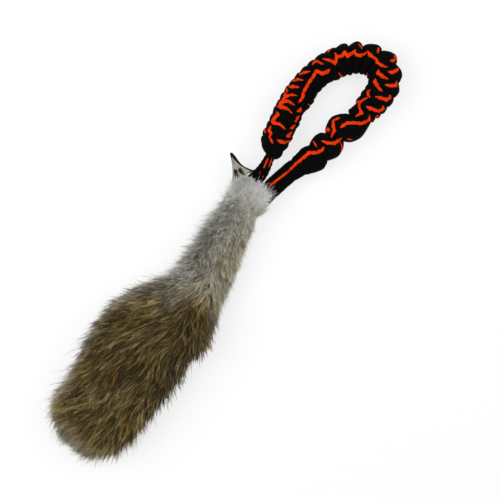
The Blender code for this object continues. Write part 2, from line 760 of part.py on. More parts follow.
def build_flap(looks, flap):
    # Hide flap, its webbing backing and the two stab stitches
    flap_hide(looks["suede"], looks["cutter"], flap)
    low = STRAP_HEIGHT - FLAP_THICKNESS / 2 - GAP - FLAP_BACKING_THICKNESS
    outline = flap_outline(FLAP_BACKING_SETBACK, FLAP_BACKING_RIM, FLAP_BACKING_TIP_RIM)
    backing = plate("flap_backing", outline, low, low + FLAP_BACKING_THICKNESS)
    add_object("flap_backing", backing, looks["webbing"], flap)
    for end, offset, degrees in STITCHES:
        name = "flap_stitch_" + end
        add_object(name, slit_mesh(name, offset, degrees, GAP, FLAP_THICKNESS / 2), looks["thread"], flap)


def main():
    for old in list(bpy.data.objects):
        bpy.data.objects.remove(old)
    looks = make_looks()

    # Joint places
    bend_x = TAIL_X + PELT_LENGTH * BEND_SHARE
    bend_middle, bend_half_width, _, _ = pelt_section(bend_x)
    bend_reach = (bend_half_width + SEAM_LIFT) * tan(radians(BEND_DEGREES) / 2) + JOINT_CLEARANCE
    fold_x = TAIL_X + PELT_LENGTH * FOLD_SHARE
    _, _, fold_half_thickness, fold_height = pelt_section(fold_x)
    fold_reach = fold_half_thickness * tan(radians(FOLD_DEGREES) / 2) + JOINT_CLEARANCE
    spans = (bend_x - bend_reach, bend_x + bend_reach, fold_x - fold_reach, fold_x + fold_reach)
    grip_x = LOOP_X + GRIP_FROM_SHARE * LOOP_LENGTH

    body = joint_empty("body_axis", (bend_x, bend_middle, 0.0))
    tail = joint_empty("tail_axis", (fold_x, 0.0, fold_height))
    handle = joint_empty("handle_axis", ((STRAP_EXIT_X + LOOP_X) / 2, 0.0, STRAP_HEIGHT))
    grip = joint_empty("grip_axis", (grip_x, 0.0, STRAP_HEIGHT))
    flap = joint_empty("flap_axis", (*flap_place(FLAP_ROOT_REAR_OFFSET), STRAP_HEIGHT))

    build_pelt(looks, spans, body, tail)
    build_inside(looks, spans, body, tail)
    build_strap("left", 1, STRAP_LEFT_WIDTH, STRAP_LEFT_THICKNESS, looks, handle)
    build_strap("right", -1, STRAP_RIGHT_WIDTH, STRAP_RIGHT_THICKNESS, looks, handle)
    build_gathers(looks, grip_x, handle, grip)
    build_flap(looks, flap)


main()
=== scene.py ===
import json
from math import hypot, pi, radians
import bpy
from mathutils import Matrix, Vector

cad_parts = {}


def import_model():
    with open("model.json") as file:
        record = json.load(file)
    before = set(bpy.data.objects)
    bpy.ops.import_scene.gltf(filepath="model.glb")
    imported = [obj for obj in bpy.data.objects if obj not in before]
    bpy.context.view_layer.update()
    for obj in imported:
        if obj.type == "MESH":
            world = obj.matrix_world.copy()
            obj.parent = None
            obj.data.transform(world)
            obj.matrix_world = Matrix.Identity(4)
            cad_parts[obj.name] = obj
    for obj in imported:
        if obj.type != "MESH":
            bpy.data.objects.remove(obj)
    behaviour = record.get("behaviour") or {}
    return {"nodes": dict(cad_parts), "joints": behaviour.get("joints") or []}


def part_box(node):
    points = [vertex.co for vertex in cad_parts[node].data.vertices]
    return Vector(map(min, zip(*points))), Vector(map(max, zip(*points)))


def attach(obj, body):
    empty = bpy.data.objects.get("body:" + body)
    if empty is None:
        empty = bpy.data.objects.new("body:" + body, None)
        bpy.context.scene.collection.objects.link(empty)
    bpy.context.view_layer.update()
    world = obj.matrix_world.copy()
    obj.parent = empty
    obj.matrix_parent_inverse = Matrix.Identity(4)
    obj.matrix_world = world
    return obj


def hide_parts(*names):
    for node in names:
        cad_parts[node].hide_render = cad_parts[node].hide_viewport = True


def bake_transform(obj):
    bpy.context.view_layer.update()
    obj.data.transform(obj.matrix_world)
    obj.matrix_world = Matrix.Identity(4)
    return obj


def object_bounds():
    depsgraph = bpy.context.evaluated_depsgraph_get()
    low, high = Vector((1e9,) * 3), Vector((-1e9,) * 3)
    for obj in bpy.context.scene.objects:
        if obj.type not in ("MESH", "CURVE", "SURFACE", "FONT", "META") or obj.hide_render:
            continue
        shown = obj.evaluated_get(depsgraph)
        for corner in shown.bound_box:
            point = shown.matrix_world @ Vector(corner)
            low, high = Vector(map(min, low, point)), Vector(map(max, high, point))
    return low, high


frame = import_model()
from types import SimpleNamespace

import bmesh
import bpy
import numpy as np
from mathutils import Matrix, Vector, noise

CAD_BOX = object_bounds()

# Photograph: 500 pixels across cover this width at the toy's middle height
VIEW_WIDTH = 0.625
VIEW_CENTRE = (0.0128, -0.0329, 0.024)
VIEW_TURN = -53
LENS = 120
SENSOR = 36

# Pelt: the same outline that its solids have. Each row of the table holds a place along it, as
# a share of its length, its right and left edge, as shares of its width, and its thickness, as
# a share of the largest
TAIL_X = -0.311
PELT_LENGTH = 0.393
PELT_WIDTH = 0.1185
PELT_THICKNESS = 0.058
FLAT_DEPTH = 0.0009
STRAP_HEIGHT = 0.0195
MOUTH_SLANT_SHARE = 0.15
MOUTH_SLANT_FROM = 0.030
SECTION_SQUARENESS = 2.3
PELT_STATION_SHARES = (
    (0.000, -0.10, 0.05, 0.22),
    (0.012, -0.25, 0.21, 0.52),
    (0.045, -0.38, 0.36, 0.80),
    (0.095, -0.44, 0.42, 0.94),
    (0.170, -0.46, 0.43, 0.98),
    (0.250, -0.47, 0.49, 1.00),
    (0.320, -0.48, 0.54, 1.00),
    (0.415, -0.46, 0.53, 1.00),
    (0.465, -0.49, 0.48, 1.00),
    (0.505, -0.49, 0.42, 0.97),
    (0.545, -0.43, 0.33, 0.91),
    (0.600, -0.38, 0.24, 0.82),
    (0.645, -0.35, 0.21, 0.76),
    (0.710, -0.30, 0.21, 0.72),
    (0.775, -0.24, 0.22, 0.68),
    (0.840, -0.17, 0.22, 0.64),
    (0.900, -0.16, 0.23, 0.56),
    (0.935, -0.17, 0.265, 0.50),
    (0.962, -0.18, 0.278, 0.45),
    (1.000, -0.185, 0.235, 0.41),
)
MOUTH_X = TAIL_X + PELT_LENGTH
HIDE_SPLIT_X = -0.135

# Joints, read from the frame
JOINTS = {joint["name"]: joint for joint in frame["joints"]}
BEND_X = JOINTS["body_bend"]["pos_m"][0]
FOLD_X = JOINTS["tail_lift"]["pos_m"][0]
HINGE = Vector(JOINTS["flap_lift"]["pos_m"])
ACROSS_HINGE = Vector(JOINTS["flap_lift"]["axis"]).cross(Vector((0, 0, -1)))
# Where soft pieces bend or stretch: the bodies on both sides, and from where to where
BENDS = {
    "body_bend": ("neck", "body", (BEND_X + 0.0143, 0, 0), (BEND_X - 0.0143, 0, 0)),
    "tail_lift": ("body", "tail", (FOLD_X + 0.0175, 0, 0), (FOLD_X - 0.0175, 0, 0)),
    "handle_lift": ("neck", "handle", (0.082, 0, 0), (0.118, 0, 0)),
    "bungee_stretch": ("handle", "grip", (0.128, 0, 0), (0.232, 0, 0)),
    "flap_lift": ("neck", "flap", HINGE - ACROSS_HINGE * 0.0030, HINGE + ACROSS_HINGE * 0.0035),
}

CORE_WIDTH = 0.025
# Where the front core strip ends, short of the mouth, whose right side is drawn back
CORE_FRONT_X = 0.046

# Handle: points of the loop's middle line, as shares of its length and width
LOOP_X = 0.1230
LOOP_LENGTH = 0.168
LOOP_WIDTH = 0.078
LOOP_POINT_SHARES = (
    (0.000, 0.265),
    (0.080, 0.315),
    (0.200, 0.375),
    (0.350, 0.440),
    (0.500, 0.465),
    (0.650, 0.455),
    (0.770, 0.400),
    (0.870, 0.300),
    (0.950, 0.150),
    (1.000, -0.050),
    (1.005, -0.250),
    (0.955, -0.440),
    (0.860, -0.555),
    (0.740, -0.585),
    (0.600, -0.560),
    (0.450, -0.470),
    (0.300, -0.390),
    (0.150, -0.330),
    (0.060, -0.250),
    (0.000, -0.190),
)


def carry(made, by):
    # By a body; a piece that bends at a joint only has its place baked into its mesh
    if by in BENDS:
        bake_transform(made)
    else:
        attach(made, by)


def smooth_value(table, column, share):
    # Cubic curve through a column of a table whose first column holds the places
    places = [row[0] for row in table]
    values = [row[column] for row in table]
    last = len(table) - 1
    share = min(max(share, places[0]), places[-1])
    i = max(k for k in range(last) if places[k] <= share)

    def slope(k):
        low, high = max(k - 1, 0), min(k + 1, last)
        return (values[high] - values[low]) / (places[high] - places[low])

    step = places[i + 1] - places[i]
    t = (share - places[i]) / step
    blend = t * t * (3 - 2 * t)
    rise = slope(i) * step * t * (1 - t) * (1 - t)
    fall = slope(i + 1) * step * t * t * (1 - t)
    return values[i] + (values[i + 1] - values[i]) * blend + rise - fall


# Materials
class Network:
    # Shader nodes, made and joined in few words
    def __init__(self, owner):
        owner.use_nodes = True
        self.nodes, self.links = owner.node_tree.nodes, owner.node_tree.links

    def node(self, kind, inputs=(), **settings):
        # Inputs are given as (socket, value), the value being a plain one or another node's output
        made = self.nodes.new("ShaderNode" + kind)
        for setting, value in settings.items():
            setattr(made, setting, value)
        for socket, value in inputs:
            if isinstance(value, bpy.types.NodeSocket):
                self.links.new(value, made.inputs[socket])
            else:
                made.inputs[socket].default_value = value
        return made

    def seen_directly(self, lit, direct, share, output):
        # What the camera sees, also in a mirror or through glass, is a share of another shader
        rays = self.node("LightPath").outputs
        seen = rays["Is Camera Ray"]
        for other in ("Is Glossy Ray", "Is Transmission Ray"):
            seen = self.node("Math", ((0, seen), (1, rays[other])), operation="MAXIMUM").outputs[0]
        seen = self.node("Math", ((0, seen), (1, share)), operation="MULTIPLY").outputs[0]
        mix = self.node("MixShader", (("Fac", seen), (1, lit.outputs[0]), (2, direct.outputs[0])))
        self.links.new(mix.outputs[0], self.nodes[output].inputs["Surface"])


class Finish(Network):
    def __init__(self, name, roughness, specular=0.5):
        self.made = bpy.data.materials.new(name)
        super().__init__(self.made)
        self.shader = self.nodes["Principled BSDF"]
        self.shader.inputs["Roughness"].default_value = roughness
        self.shader.inputs["Specular IOR Level"].default_value = specular

    def on_object(self):
        return self.node("TexCoord").outputs["Object"]

    def attribute(self, name, output="Fac"):
        return self.node("Attribute", attribute_name=name).outputs[output]

    def ramp(self, source, *stops):
        made = self.node("ValToRGB", (("Fac", source),))
        marks = made.color_ramp.elements
        while len(marks) < len(stops):
            marks.new(0.5)
        for mark, (place, color) in zip(marks, stops):
            mark.position = place
            mark.color = (*color, 1.0)
        return made.outputs["Color"]

    def mix(self, factor, first, second, blend_type="MIX"):
        inputs = (("Factor", factor), ("A", first), ("B", second))
        return self.node("Mix", inputs, data_type="RGBA", blend_type=blend_type).outputs["Result"]

    def paint(self, color, bumps=None, distance=0.0003, strength=1.0):
        # Colour, and a grain that stands out by the distance
        self.links.new(color, self.shader.inputs["Base Color"])
        if bumps:
            bump = self.node("Bump", (("Strength", strength), ("Distance", distance), ("Height", bumps)))
            self.links.new(bump.outputs["Normal"], self.shader.inputs["Normal"])
        return self.made


def srgb(red, green, blue):
    def line(value):
        share = value / 255
        return share / 12.92 if share <= 0.04045 else ((share + 0.055) / 1.055) ** 2.4
    return line(red), line(green), line(blue)


def fur_material():
    # Hair takes its colour from each strand's own tint
    look = Finish("rabbit_fur", roughness=0.62, specular=0.28)
    return look.paint(look.attribute("tint", "Color"))


def hide_material():
    # Dense underfur on the skin, brown behind and grey in front. The dark brown behind is partly painted
    # shade, deepening the gaps between the locks
    look = Finish("underfur", roughness=0.95, specular=0.1)
    where = look.on_object()
    x = look.node("SeparateXYZ", ((0, where),)).outputs["X"]
    along = look.node("MapRange", (("Value", x), ("From Min", BEND_X - 0.030), ("From Max", 0.066)))
    zone = look.ramp(along.outputs["Result"], (0.0, srgb(40, 28, 13)), (0.43, srgb(112, 108, 92)),
                     (0.80, srgb(122, 118, 104)), (1.0, srgb(196, 194, 186)))
    grain = look.node("TexNoise", (("Vector", where), ("Scale", 420), ("Detail", 3))).outputs["Fac"]
    shade = look.ramp(grain, (0.3, (0.45, 0.45, 0.45)), (0.7, (1.15, 1.15, 1.15)))
    return look.paint(look.mix(1.0, zone, shade, "MULTIPLY"), grain, distance=0.001)


def read_off(table, at, column=1):
    # Value of a column at a place, where the first column holds the places
    return np.interp(at, table[:, 0], table[:, column])


def climb(value, start, over):
    # 0 up to the start, 1 beyond the stretch over which it climbs
    return np.clip((value - start) / over, 0, 1)


def blended(first, second, share):
    return first * (1 - share) + second * share


def squarish_ring(angle, squareness):
    # How far aside and how far up a point of a squarish ring stands, as shares
    power = 2 / squareness
    return (np.sign(part) * np.abs(part) ** power for part in (np.cos(angle), np.sin(angle)))


# Pelt's edges and half thickness, read off finely for many places at once
PELT_TABLE = np.array([
    [share] + [smooth_value(PELT_STATION_SHARES, k, share) * size
               for k, size in ((1, PELT_WIDTH), (2, PELT_WIDTH), (3, PELT_THICKNESS / 2))]
    for share in np.linspace(0.0, 1.0, 500)
])
# Depth of the coat, which the skin lies under, in millimetres: place, left side, right side
COAT_DEPTHS = np.array((
    (-311, 7.0, 5.2), (-290, 8.0, 5.8), (-230, 8.8, 5.6), (-180, 6.6, 5.6), (-140, 6.0, 5.6),
    (-110, 7.8, 5.6), (-75, 6.4, 3.2), (-20, 4.0, 2.4), (30, 2.2, 4.0), (60, 2.0, 8.0), (82, 1.2, 9.0),
)) / 1000
# Share of that depth over the top
TOP_DEPTH_SHARE = 0.6
# Outline of the dense coat from above, in millimetres: place, right edge and left edge
COAT_OUTLINE = np.array((
    (-327, -18, 8), (-317, -29, 18), (-301, -41, 42), (-286, -48, 47), (-271, -53, 49), (-241, -51, 49),
    (-211, -53, 53), (-181, -54, 59), (-151, -48, 56), (-136, -55, 55), (-121, -59, 51), (-106, -52, 43),
    (-91, -49, 34), (-76, -51, 29), (-61, -50, 24), (-31, -40, 27), (-1, -30, 28), (22, -23, 23),
    (36, -17, 25), (44, -13, 28), (58, -12, 31), (66, -17, 38), (80, -20, 37), (95, -20, 30),
)) / 1000
# Front edge of the coat at the mouth, from the right strap to the flap
COAT_FRONT = np.array(((-20, 93), (7, 90), (21, 87), (27, 84), (38, 76))) / 1000
# On the right the mouth draws back from the strap: from where, how steeply, beyond what
# distance from the middle and over how much of it
DRAWN_BACK_FROM = 0.040
DRAWN_BACK_STEEPNESS = 1.15
DRAWN_BACK_BEYOND = 0.004
DRAWN_BACK_OVER = 0.018
# The toy rests on its hair, which keeps the skin off the floor by this much
REST_GAP = 0.0018
PELT_SIDES = 72
PELT_PITCH = 0.004
# Sections that crowd at the tail's end, as shares of its first three pitches
TAIL_CROWD = (0.0, 0.06, 0.2, 0.5)


def pelt_middle(x):
    share = (x - TAIL_X) / PELT_LENGTH
    return (read_off(PELT_TABLE, share, 1) + read_off(PELT_TABLE, share, 2)) / 2


def pelt_point(x, angle, inset=0.0):
    share = (x - TAIL_X) / PELT_LENGTH
    left_depth, right_depth = (read_off(COAT_DEPTHS, x, k) for k in (1, 2))
    depth = (left_depth + right_depth) / 2 + inset
    shift = (right_depth - left_depth) / 2
    right, left = (read_off(PELT_TABLE, share, k) + shift for k in (1, 2))
    half_thickness = read_off(PELT_TABLE, share, 3)
    height = np.maximum(half_thickness - FLAT_DEPTH, STRAP_HEIGHT)
    sideways, upward = squarish_ring(angle, SECTION_SQUARENESS)
    across = sideways * ((left - right) / 2 - depth)
    up = upward * (half_thickness - np.where(np.sin(angle) > 0, depth * TOP_DEPTH_SHARE, inset))
    reach = np.clip((x - MOUTH_SLANT_FROM) / (MOUTH_X - MOUTH_SLANT_FROM), 0.0, None)
    slanted = x + MOUTH_SLANT_SHARE * reach * across
    bare = climb(x, DRAWN_BACK_FROM, MOUTH_X - DRAWN_BACK_FROM)
    drawn_back = DRAWN_BACK_STEEPNESS * bare * np.clip(-across - DRAWN_BACK_BEYOND, 0.0, DRAWN_BACK_OVER)
    z = np.maximum(height + up, REST_GAP)
    return np.stack([slanted - drawn_back, (left + right) / 2 + across, z], axis=-1)


def unit(vectors):
    return vectors / np.maximum(np.linalg.norm(vectors, axis=-1, keepdims=True), 1e-9)


def pelt_axes(x, angle):
    # Place, direction along +X, direction round the section and outward normal
    step_x, step_angle = 0.0015, 0.03
    low = np.maximum(x - step_x, TAIL_X)
    high = np.minimum(x + step_x, MOUTH_X)
    place = pelt_point(x, angle)
    along = unit(pelt_point(high, angle) - pelt_point(low, angle))
    around = unit(pelt_point(x, angle + step_angle) - pelt_point(x, angle - step_angle))
    normal = unit(np.cross(along, around))
    middle = (pelt_point(x, 0 * x)[:, 1] + pelt_point(x, 0 * x + pi)[:, 1]) / 2
    outward = place - np.stack([place[:, 0], middle, np.full(len(x), STRAP_HEIGHT)], axis=-1)
    flip = np.sign(np.sum(normal * outward, axis=-1, keepdims=True))
    return place, along, around, normal * np.where(flip == 0, 1, flip)


def grid_shape(columns, rows):
    # A grid to be bent into shape, and how far along and across it each point stands
    shape = bmesh.new()
    bmesh.ops.create_grid(shape, x_segments=columns, y_segments=rows, size=0.5)
    along, across = (np.array([vert.co for vert in shape.verts])[:, :2] + 0.5).T
    return shape, along, across


def put_verts(shape, points, mark=None, values=()):
    # Moves every point of a shape, and marks it with a value
    if mark:
        marks = shape.verts.layers.float.new(mark)
        for vert, value in zip(shape.verts, values):
            vert[marks] = value
    for vert, point in zip(shape.verts, points):
        vert.co = point


def hide_piece(name, start, end, nodes, look, inset=0.0, closed_tail=False):
    # A grid wrapped into the skin's form, closer sections at the tail's end
    count = max(8, int((end - start) / PELT_PITCH))
    places = [start + (end - start) * i / count for i in range(count + 1)]
    if closed_tail:
        places = [start + (places[3] - start) * s for s in TAIL_CROWD] + places[3:]
    shape, along, around = grid_shape(len(places) - 1, PELT_SIDES)
    x = np.interp(along, np.linspace(0, 1, len(places)), places)
    put_verts(shape, pelt_point(x, around * 2 * pi, inset))
    close_and_turn_out(shape)
    return finish_mesh(name, shape, look, nodes)


def close_and_turn_out(shape):
    # Joins the seam of a wrapped grid, closes its ends and turns its faces outward
    bmesh.ops.remove_doubles(shape, verts=shape.verts, dist=0.000001)
    bmesh.ops.holes_fill(shape, edges=[edge for edge in shape.edges if edge.is_boundary])
    bmesh.ops.recalc_face_normals(shape, faces=shape.faces)


def show(name, mesh, look):
    made = bpy.data.objects.new(name, mesh)
    bpy.context.scene.collection.objects.link(made)
    mesh.materials.append(look)
    return made


def finish_mesh(name, shape, look, nodes=(), smooth=True):
    mesh = bpy.data.meshes.new(name)
    for face in shape.faces:
        face.smooth = smooth
    shape.to_mesh(mesh)
    shape.free()
    made = show(name, mesh, look)
    if nodes:
        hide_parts(*nodes)
    return made


# Hair: steps along it, and how full it is and how firmly its lock holds it there
HAIR_STEPS = np.array((0.0, 0.34, 0.68, 1.0))
HAIR_FULLNESS = np.array((1.0, 0.9, 0.62, 0.0))
LOCK_HOLD = np.array((0.0, 0.55, 0.86, 1.0))
ROOT_DEPTH = 0.0006
# Least share of its length that a trimmed lock or hair keeps
SHORTEST_LOCK = 0.34
SHORTEST_HAIR = 0.15
# How far the longest hairs may stand past the solids' box
SIDE_MARGIN = 0.0128
TOP_MARGIN = 0.0108
HAIR_STEPPING = 0.0060


def hair_shape():
    # One upright hair: a pointed rod of three sides in three stretches
    shape = bmesh.new()
    bmesh.ops.create_cone(shape, cap_ends=True, segments=3, radius1=1.0, radius2=0.0, depth=1.0,
                          matrix=Matrix.Translation((0, 0, 0.5)))
    for height in HAIR_STEPS[1:3]:
        everything = list(shape.verts) + list(shape.edges) + list(shape.faces)
        bmesh.ops.bisect_plane(shape, geom=everything, plane_co=(0, 0, height), plane_no=(0, 0, 1))
    bmesh.ops.triangulate(shape, faces=shape.faces)
    bmesh.ops.recalc_face_normals(shape, faces=shape.faces)
    shape.verts.ensure_lookup_table()
    points = np.array([vert.co for vert in shape.verts])
    faces = np.array([[vert.index for vert in face.verts] for face in shape.faces])
    shape.free()
    return points, faces


HAIR_POINTS, HAIR_FACES = hair_shape()
STEP_OF_POINT = np.array([int(np.argmin(np.abs(HAIR_STEPS - z))) for z in HAIR_POINTS[:, 2]])
HAIR_SIDE = HAIR_POINTS[:, :2] / np.maximum(np.linalg.norm(HAIR_POINTS[:, :2], axis=1, keepdims=True), 1e-6)


def hair_paths(place, normal, flow, length, lift, droop, sweep):
    # Points along each hair: it leaves the skin at its lift, lies down towards its tip and
    # sweeps to one side
    points = [place - normal * ROOT_DEPTH]
    side = np.cross(normal, flow)
    steps = np.diff(HAIR_STEPS)
    for k, step in enumerate(steps):
        share = k / (len(steps) - 1)
        angle = lift - droop * share
        turn = (sweep * (share - 0.35))[:, None]
        level = flow * np.cos(turn) + side * np.sin(turn)
        heading = level * np.cos(angle)[:, None] + normal * np.sin(angle)[:, None]
        points.append(points[-1] + heading * (length * step)[:, None])
    return np.stack(points, axis=1)


def within_outline(paths, slack):
    # Share of its length that a lock keeps so as to end about at the coat's outline
    root, tip = paths[:, 0], paths[:, -1]
    right, left = (read_off(COAT_OUTLINE, tip[:, 0], k) for k in (1, 2))
    past_side = np.maximum(tip[:, 1] - left, right - tip[:, 1]) - slack
    past_front = tip[:, 0] - read_off(COAT_FRONT, tip[:, 1]) - slack * 0.5
    aside = 1 - past_side / np.maximum(np.abs(tip[:, 1] - root[:, 1]), 0.001)
    ahead = 1 - past_front / np.maximum(tip[:, 0] - root[:, 0], 0.001)
    return np.clip(np.minimum(aside, ahead), SHORTEST_LOCK, 1)


def within_box(rng, paths):
    # The longest hairs are shorter where they would reach far past the solids' box
    root = paths[:, :1]
    low, high = CAD_BOX
    share = np.ones(len(paths))
    sides = ((1, 1, high.y + SIDE_MARGIN), (1, -1, SIDE_MARGIN - low.y), (2, 1, high.z + TOP_MARGIN))
    for axis, sign, edge in sides:
        far = (sign * (paths - root)[..., axis]).max(axis=1)
        room = edge - rng.uniform(0, HAIR_STEPPING, len(paths)) - sign * root[:, 0, axis]
        share = np.minimum(share, room / np.maximum(far, 0.0001))
    return root + (paths - root) * np.clip(share, SHORTEST_HAIR, 1)[:, None, None]


def hair_mesh(name, paths, width, root_tint, tip_tint, look):
    # Every hair is the upright one, bent along its own path
    heading = unit(np.gradient(paths, axis=1))
    side = unit(np.cross(heading, np.array([0.0, 0.0, 1.0]) + 0.001))
    up = np.cross(side, heading)
    at = STEP_OF_POINT
    radius = width[:, None, None] * HAIR_FULLNESS[at][None, :, None]
    points = side[:, at] * HAIR_SIDE[None, :, :1] + up[:, at] * HAIR_SIDE[None, :, 1:]
    points = paths[:, at] + radius * points
    faces = (HAIR_FACES[None] + (np.arange(len(paths)) * len(HAIR_POINTS))[:, None, None]).reshape(-1, 3)
    mesh = bpy.data.meshes.new(name)
    mesh.from_pydata(points.reshape(-1, 3).tolist(), [], faces.tolist())
    share = HAIR_STEPS[at][None, :, None]
    tint = root_tint[:, None, :] * (1 - share) + tip_tint[:, None, :] * share
    layer = mesh.color_attributes.new("tint", "FLOAT_COLOR", "POINT")
    color = np.concatenate([tint, np.ones((*tint.shape[:2], 1))], axis=2)
    layer.data.foreach_set("color", color.astype(np.float32).ravel())
    mesh.polygons.foreach_set("use_smooth", np.ones(len(faces), dtype=bool))
    return show(name, mesh, look)


def wander(points, scale, seed=0):
    # Smooth noise, which differs by seed
    return np.array([noise.noise(Vector(p) * scale + Vector((seed, seed * 2, 0))) for p in points])


def field(points, scale, seed):
    # Smooth wandering value over the skin, from -1 to 1
    return wander(points, scale, seed) * 1.6


# Values of brown locks and of grey ones, which are wilder, shorter and more upright
LOCK_LENGTH = (0.0265, 0.0125)
LOCK_SPREAD = (0.00036, 0.00131)
LOCK_WILDNESS = (1.0, 2.1)
LOCK_FAN = (0.64, 0.44)
LOCK_SWEEP = (0.36, 1.02)
LOCK_RAISED = (0, 14)
LOCK_DROOP = (0, 6)
LOCK_UNLIKENESS = (0.56, 0.42)
BRIGHTEST = (2.9, 1.6)
LOOSENESS = (0.0, 0.30)
HAIR_SLENDERNESS = (1.0, 0.58)
# Ranges that locks and hairs are drawn from; angles in degrees
LOCK_LENGTH_RANGE = (0.60, 1.30)
LIFT_RANGE = (6, 27)
DROOP_RANGE = (0, 22)
FORWARD_RANGE = (0.034, 0.066)
HAIR_LENGTH_RANGE = (0.72, 1.10)
HOLD_RANGE = (0.62, 0.97)
WIDTH_RANGE = (0.00022, 0.00046)
# Strays: how many, more of them at the wispy left flank, and their length, hold and width
STRAY_SHARE = (0.18, 0.48)
STRAY_LENGTH = (1.35, 1.80)
STRAY_HOLD = 0.12
STRAY_WIDTH = 0.72
# Roots grow as densely as the skin is wide, up to this width per radian, and fewer where
# the sine of the angle is below a value, under the toy
WIDEST = 0.075
UNDER_SINE = -0.55
UNDER_SHARE = 0.45


def scatter(rng, count, low_x, high_x):
    # Roots spread evenly over a stretch of skin, fewer under the toy
    picked = []
    while sum(len(x) for x, _ in picked) < count:
        x = rng.uniform(low_x, high_x, count)
        angle = rng.uniform(0, 2 * pi, count)
        wide = np.linalg.norm(pelt_point(x, angle + 0.02) - pelt_point(x, angle - 0.02), axis=1) / 0.04
        under = np.where(np.sin(angle) < UNDER_SINE, UNDER_SHARE, 1.0)
        keep = rng.uniform(0, WIDEST, count) < np.clip(wide, 0.0, WIDEST) * under
        picked.append((x[keep], angle[keep]))
    return (np.concatenate(values)[:count] for values in zip(*picked))


BROWN_ROOT, BLUE_GREY, GREY_ROOT, BEIGE, PALE, PALEST_TIP = (np.array(srgb(*color)) for color in (
    (42, 26, 6), (188, 189, 182), (150, 146, 130), (240, 233, 212), (252, 250, 245), (242, 226, 168)))
BROWN_TIPS = np.array([srgb(154, 126, 58), srgb(100, 74, 24), srgb(230, 209, 140), srgb(40, 26, 5)])
BROWN_TIP_CHANCES = (0.29, 0.25, 0.20, 0.26)
GREY_TIPS = np.array([srgb(234, 229, 211), srgb(198, 193, 174), srgb(252, 250, 242), srgb(138, 131, 112)])
GREY_TIP_CHANCES = (0.38, 0.26, 0.22, 0.14)
COOLING = np.array((0.05, 0.10, 0.16))
# Where the coat changes: the start and over what stretch, along +X, -X, +Y or -Y
GREY_ALONG = (-0.084, 0.040)
PALE_ALONG = (0.042, 0.022)
TAIL_END_BACK = (0.274, 0.028)
COOL_LEFT = (0.008, 0.012)
BEIGE_RIGHT = (-0.002, 0.012)
# Shade along the toy, and patches of shade: middle, half length, half width and depth,
# which is negative for a bright one
SHADE_PLACES = (-0.29, -0.24, -0.20, -0.12, -0.07)
SHADES = (1.10, 1.02, 0.84, 0.86, 0.98)
SHADE_PATCHES = (
    (-0.176, -0.005, 0.016, 0.011, 0.74),
    (-0.146, -0.036, 0.034, 0.007, 0.66),
    (-0.115, -0.010, 0.014, 0.010, 0.30),
    (-0.149, -0.010, 0.010, 0.010, -0.34),
    (0.068, -0.003, 0.014, 0.007, -0.20),
    (0.074, 0.024, 0.012, 0.009, 0.12),
    (0.080, -0.018, 0.010, 0.007, 0.20),
    (0.050, 0.011, 0.016, 0.009, 0.13),
    (0.002, 0.014, 0.050, 0.010, 0.42),
    (-0.040, 0.002, 0.030, 0.008, 0.25),
)


def tip_kinds(rng, owner, lock_kind, own_share, chances):
    # Which tip each hair has: mostly its lock's own
    like_lock = rng.uniform(0, 1, len(owner)) < own_share
    return np.where(like_lock, lock_kind[owner], rng.choice(4, len(owner), p=chances))


def fur_tints(rng, place, owner, locks, under_left):
    # Root and tip colours of each hair: by region, mostly in its lock's own shade
    brown = BROWN_TIPS[tip_kinds(rng, owner, locks.brown_kind, 0.80, BROWN_TIP_CHANCES)]
    grey = GREY_TIPS[tip_kinds(rng, owner, locks.grey_kind, 0.6, GREY_TIP_CHANCES)]
    x, y = place[:, 0], place[:, 1]
    tail_end = climb(-x, *TAIL_END_BACK) * (0.62 + 0.36 * np.clip(y / 0.03, -1, 1))
    bluish = np.maximum(under_left * 0.58, tail_end)[:, None]
    grey = grey * (1 + climb(y, *COOL_LEFT)[:, None] * COOLING)
    grey = blended(grey, grey * BEIGE / BEIGE.max() * 1.10, climb(-y, *BEIGE_RIGHT)[:, None])
    pale = climb(x, *PALE_ALONG)[:, None] * 0.92
    mix = locks.greyness[owner][:, None]
    tip = blended(blended(brown, BLUE_GREY, bluish), blended(grey, PALE, pale), mix)
    root = blended(blended(BROWN_ROOT, BLUE_GREY * 0.6, bluish), blended(GREY_ROOT, PALE * 0.75, pale), mix)
    shade = np.interp(x, SHADE_PLACES, SHADES)
    for middle_x, middle_y, long, wide, depth in SHADE_PATCHES:
        shade *= 1 - depth * np.exp(-((x - middle_x) / long) ** 2 - ((y - middle_y) / wide) ** 2)
    brightest = blended(*BRIGHTEST, locks.greyness[owner])
    shade = (shade * np.minimum(locks.shade[owner], brightest))[:, None]
    return root * shade, np.minimum(tip * shade, PALEST_TIP * (1 - mix) + mix)


def fur_flow(x, angle, along, around, swirl, greyness, forward):
    # Hair lies towards the tail and fans outwards from the ridge; at the mouth it lies forward
    ridge = radians(92) - x * 0.8
    turn = (angle - ridge + pi) % (2 * pi) - pi
    flat_side = 1 - 0.75 * np.abs(np.cos(angle)) ** 3
    sideways = np.sin(turn) * blended(*LOCK_FAN, greyness) * flat_side + swirl
    sideways = sideways + 0.5 * forward * np.clip(np.sin(turn), 0, 1)
    crossed = np.sin(pi * forward) * np.sign(np.sin(turn * 7 + x * 900)) * 0.8
    return unit(-along * np.cos(pi * forward)[:, None] + around * (sideways + crossed)[:, None])


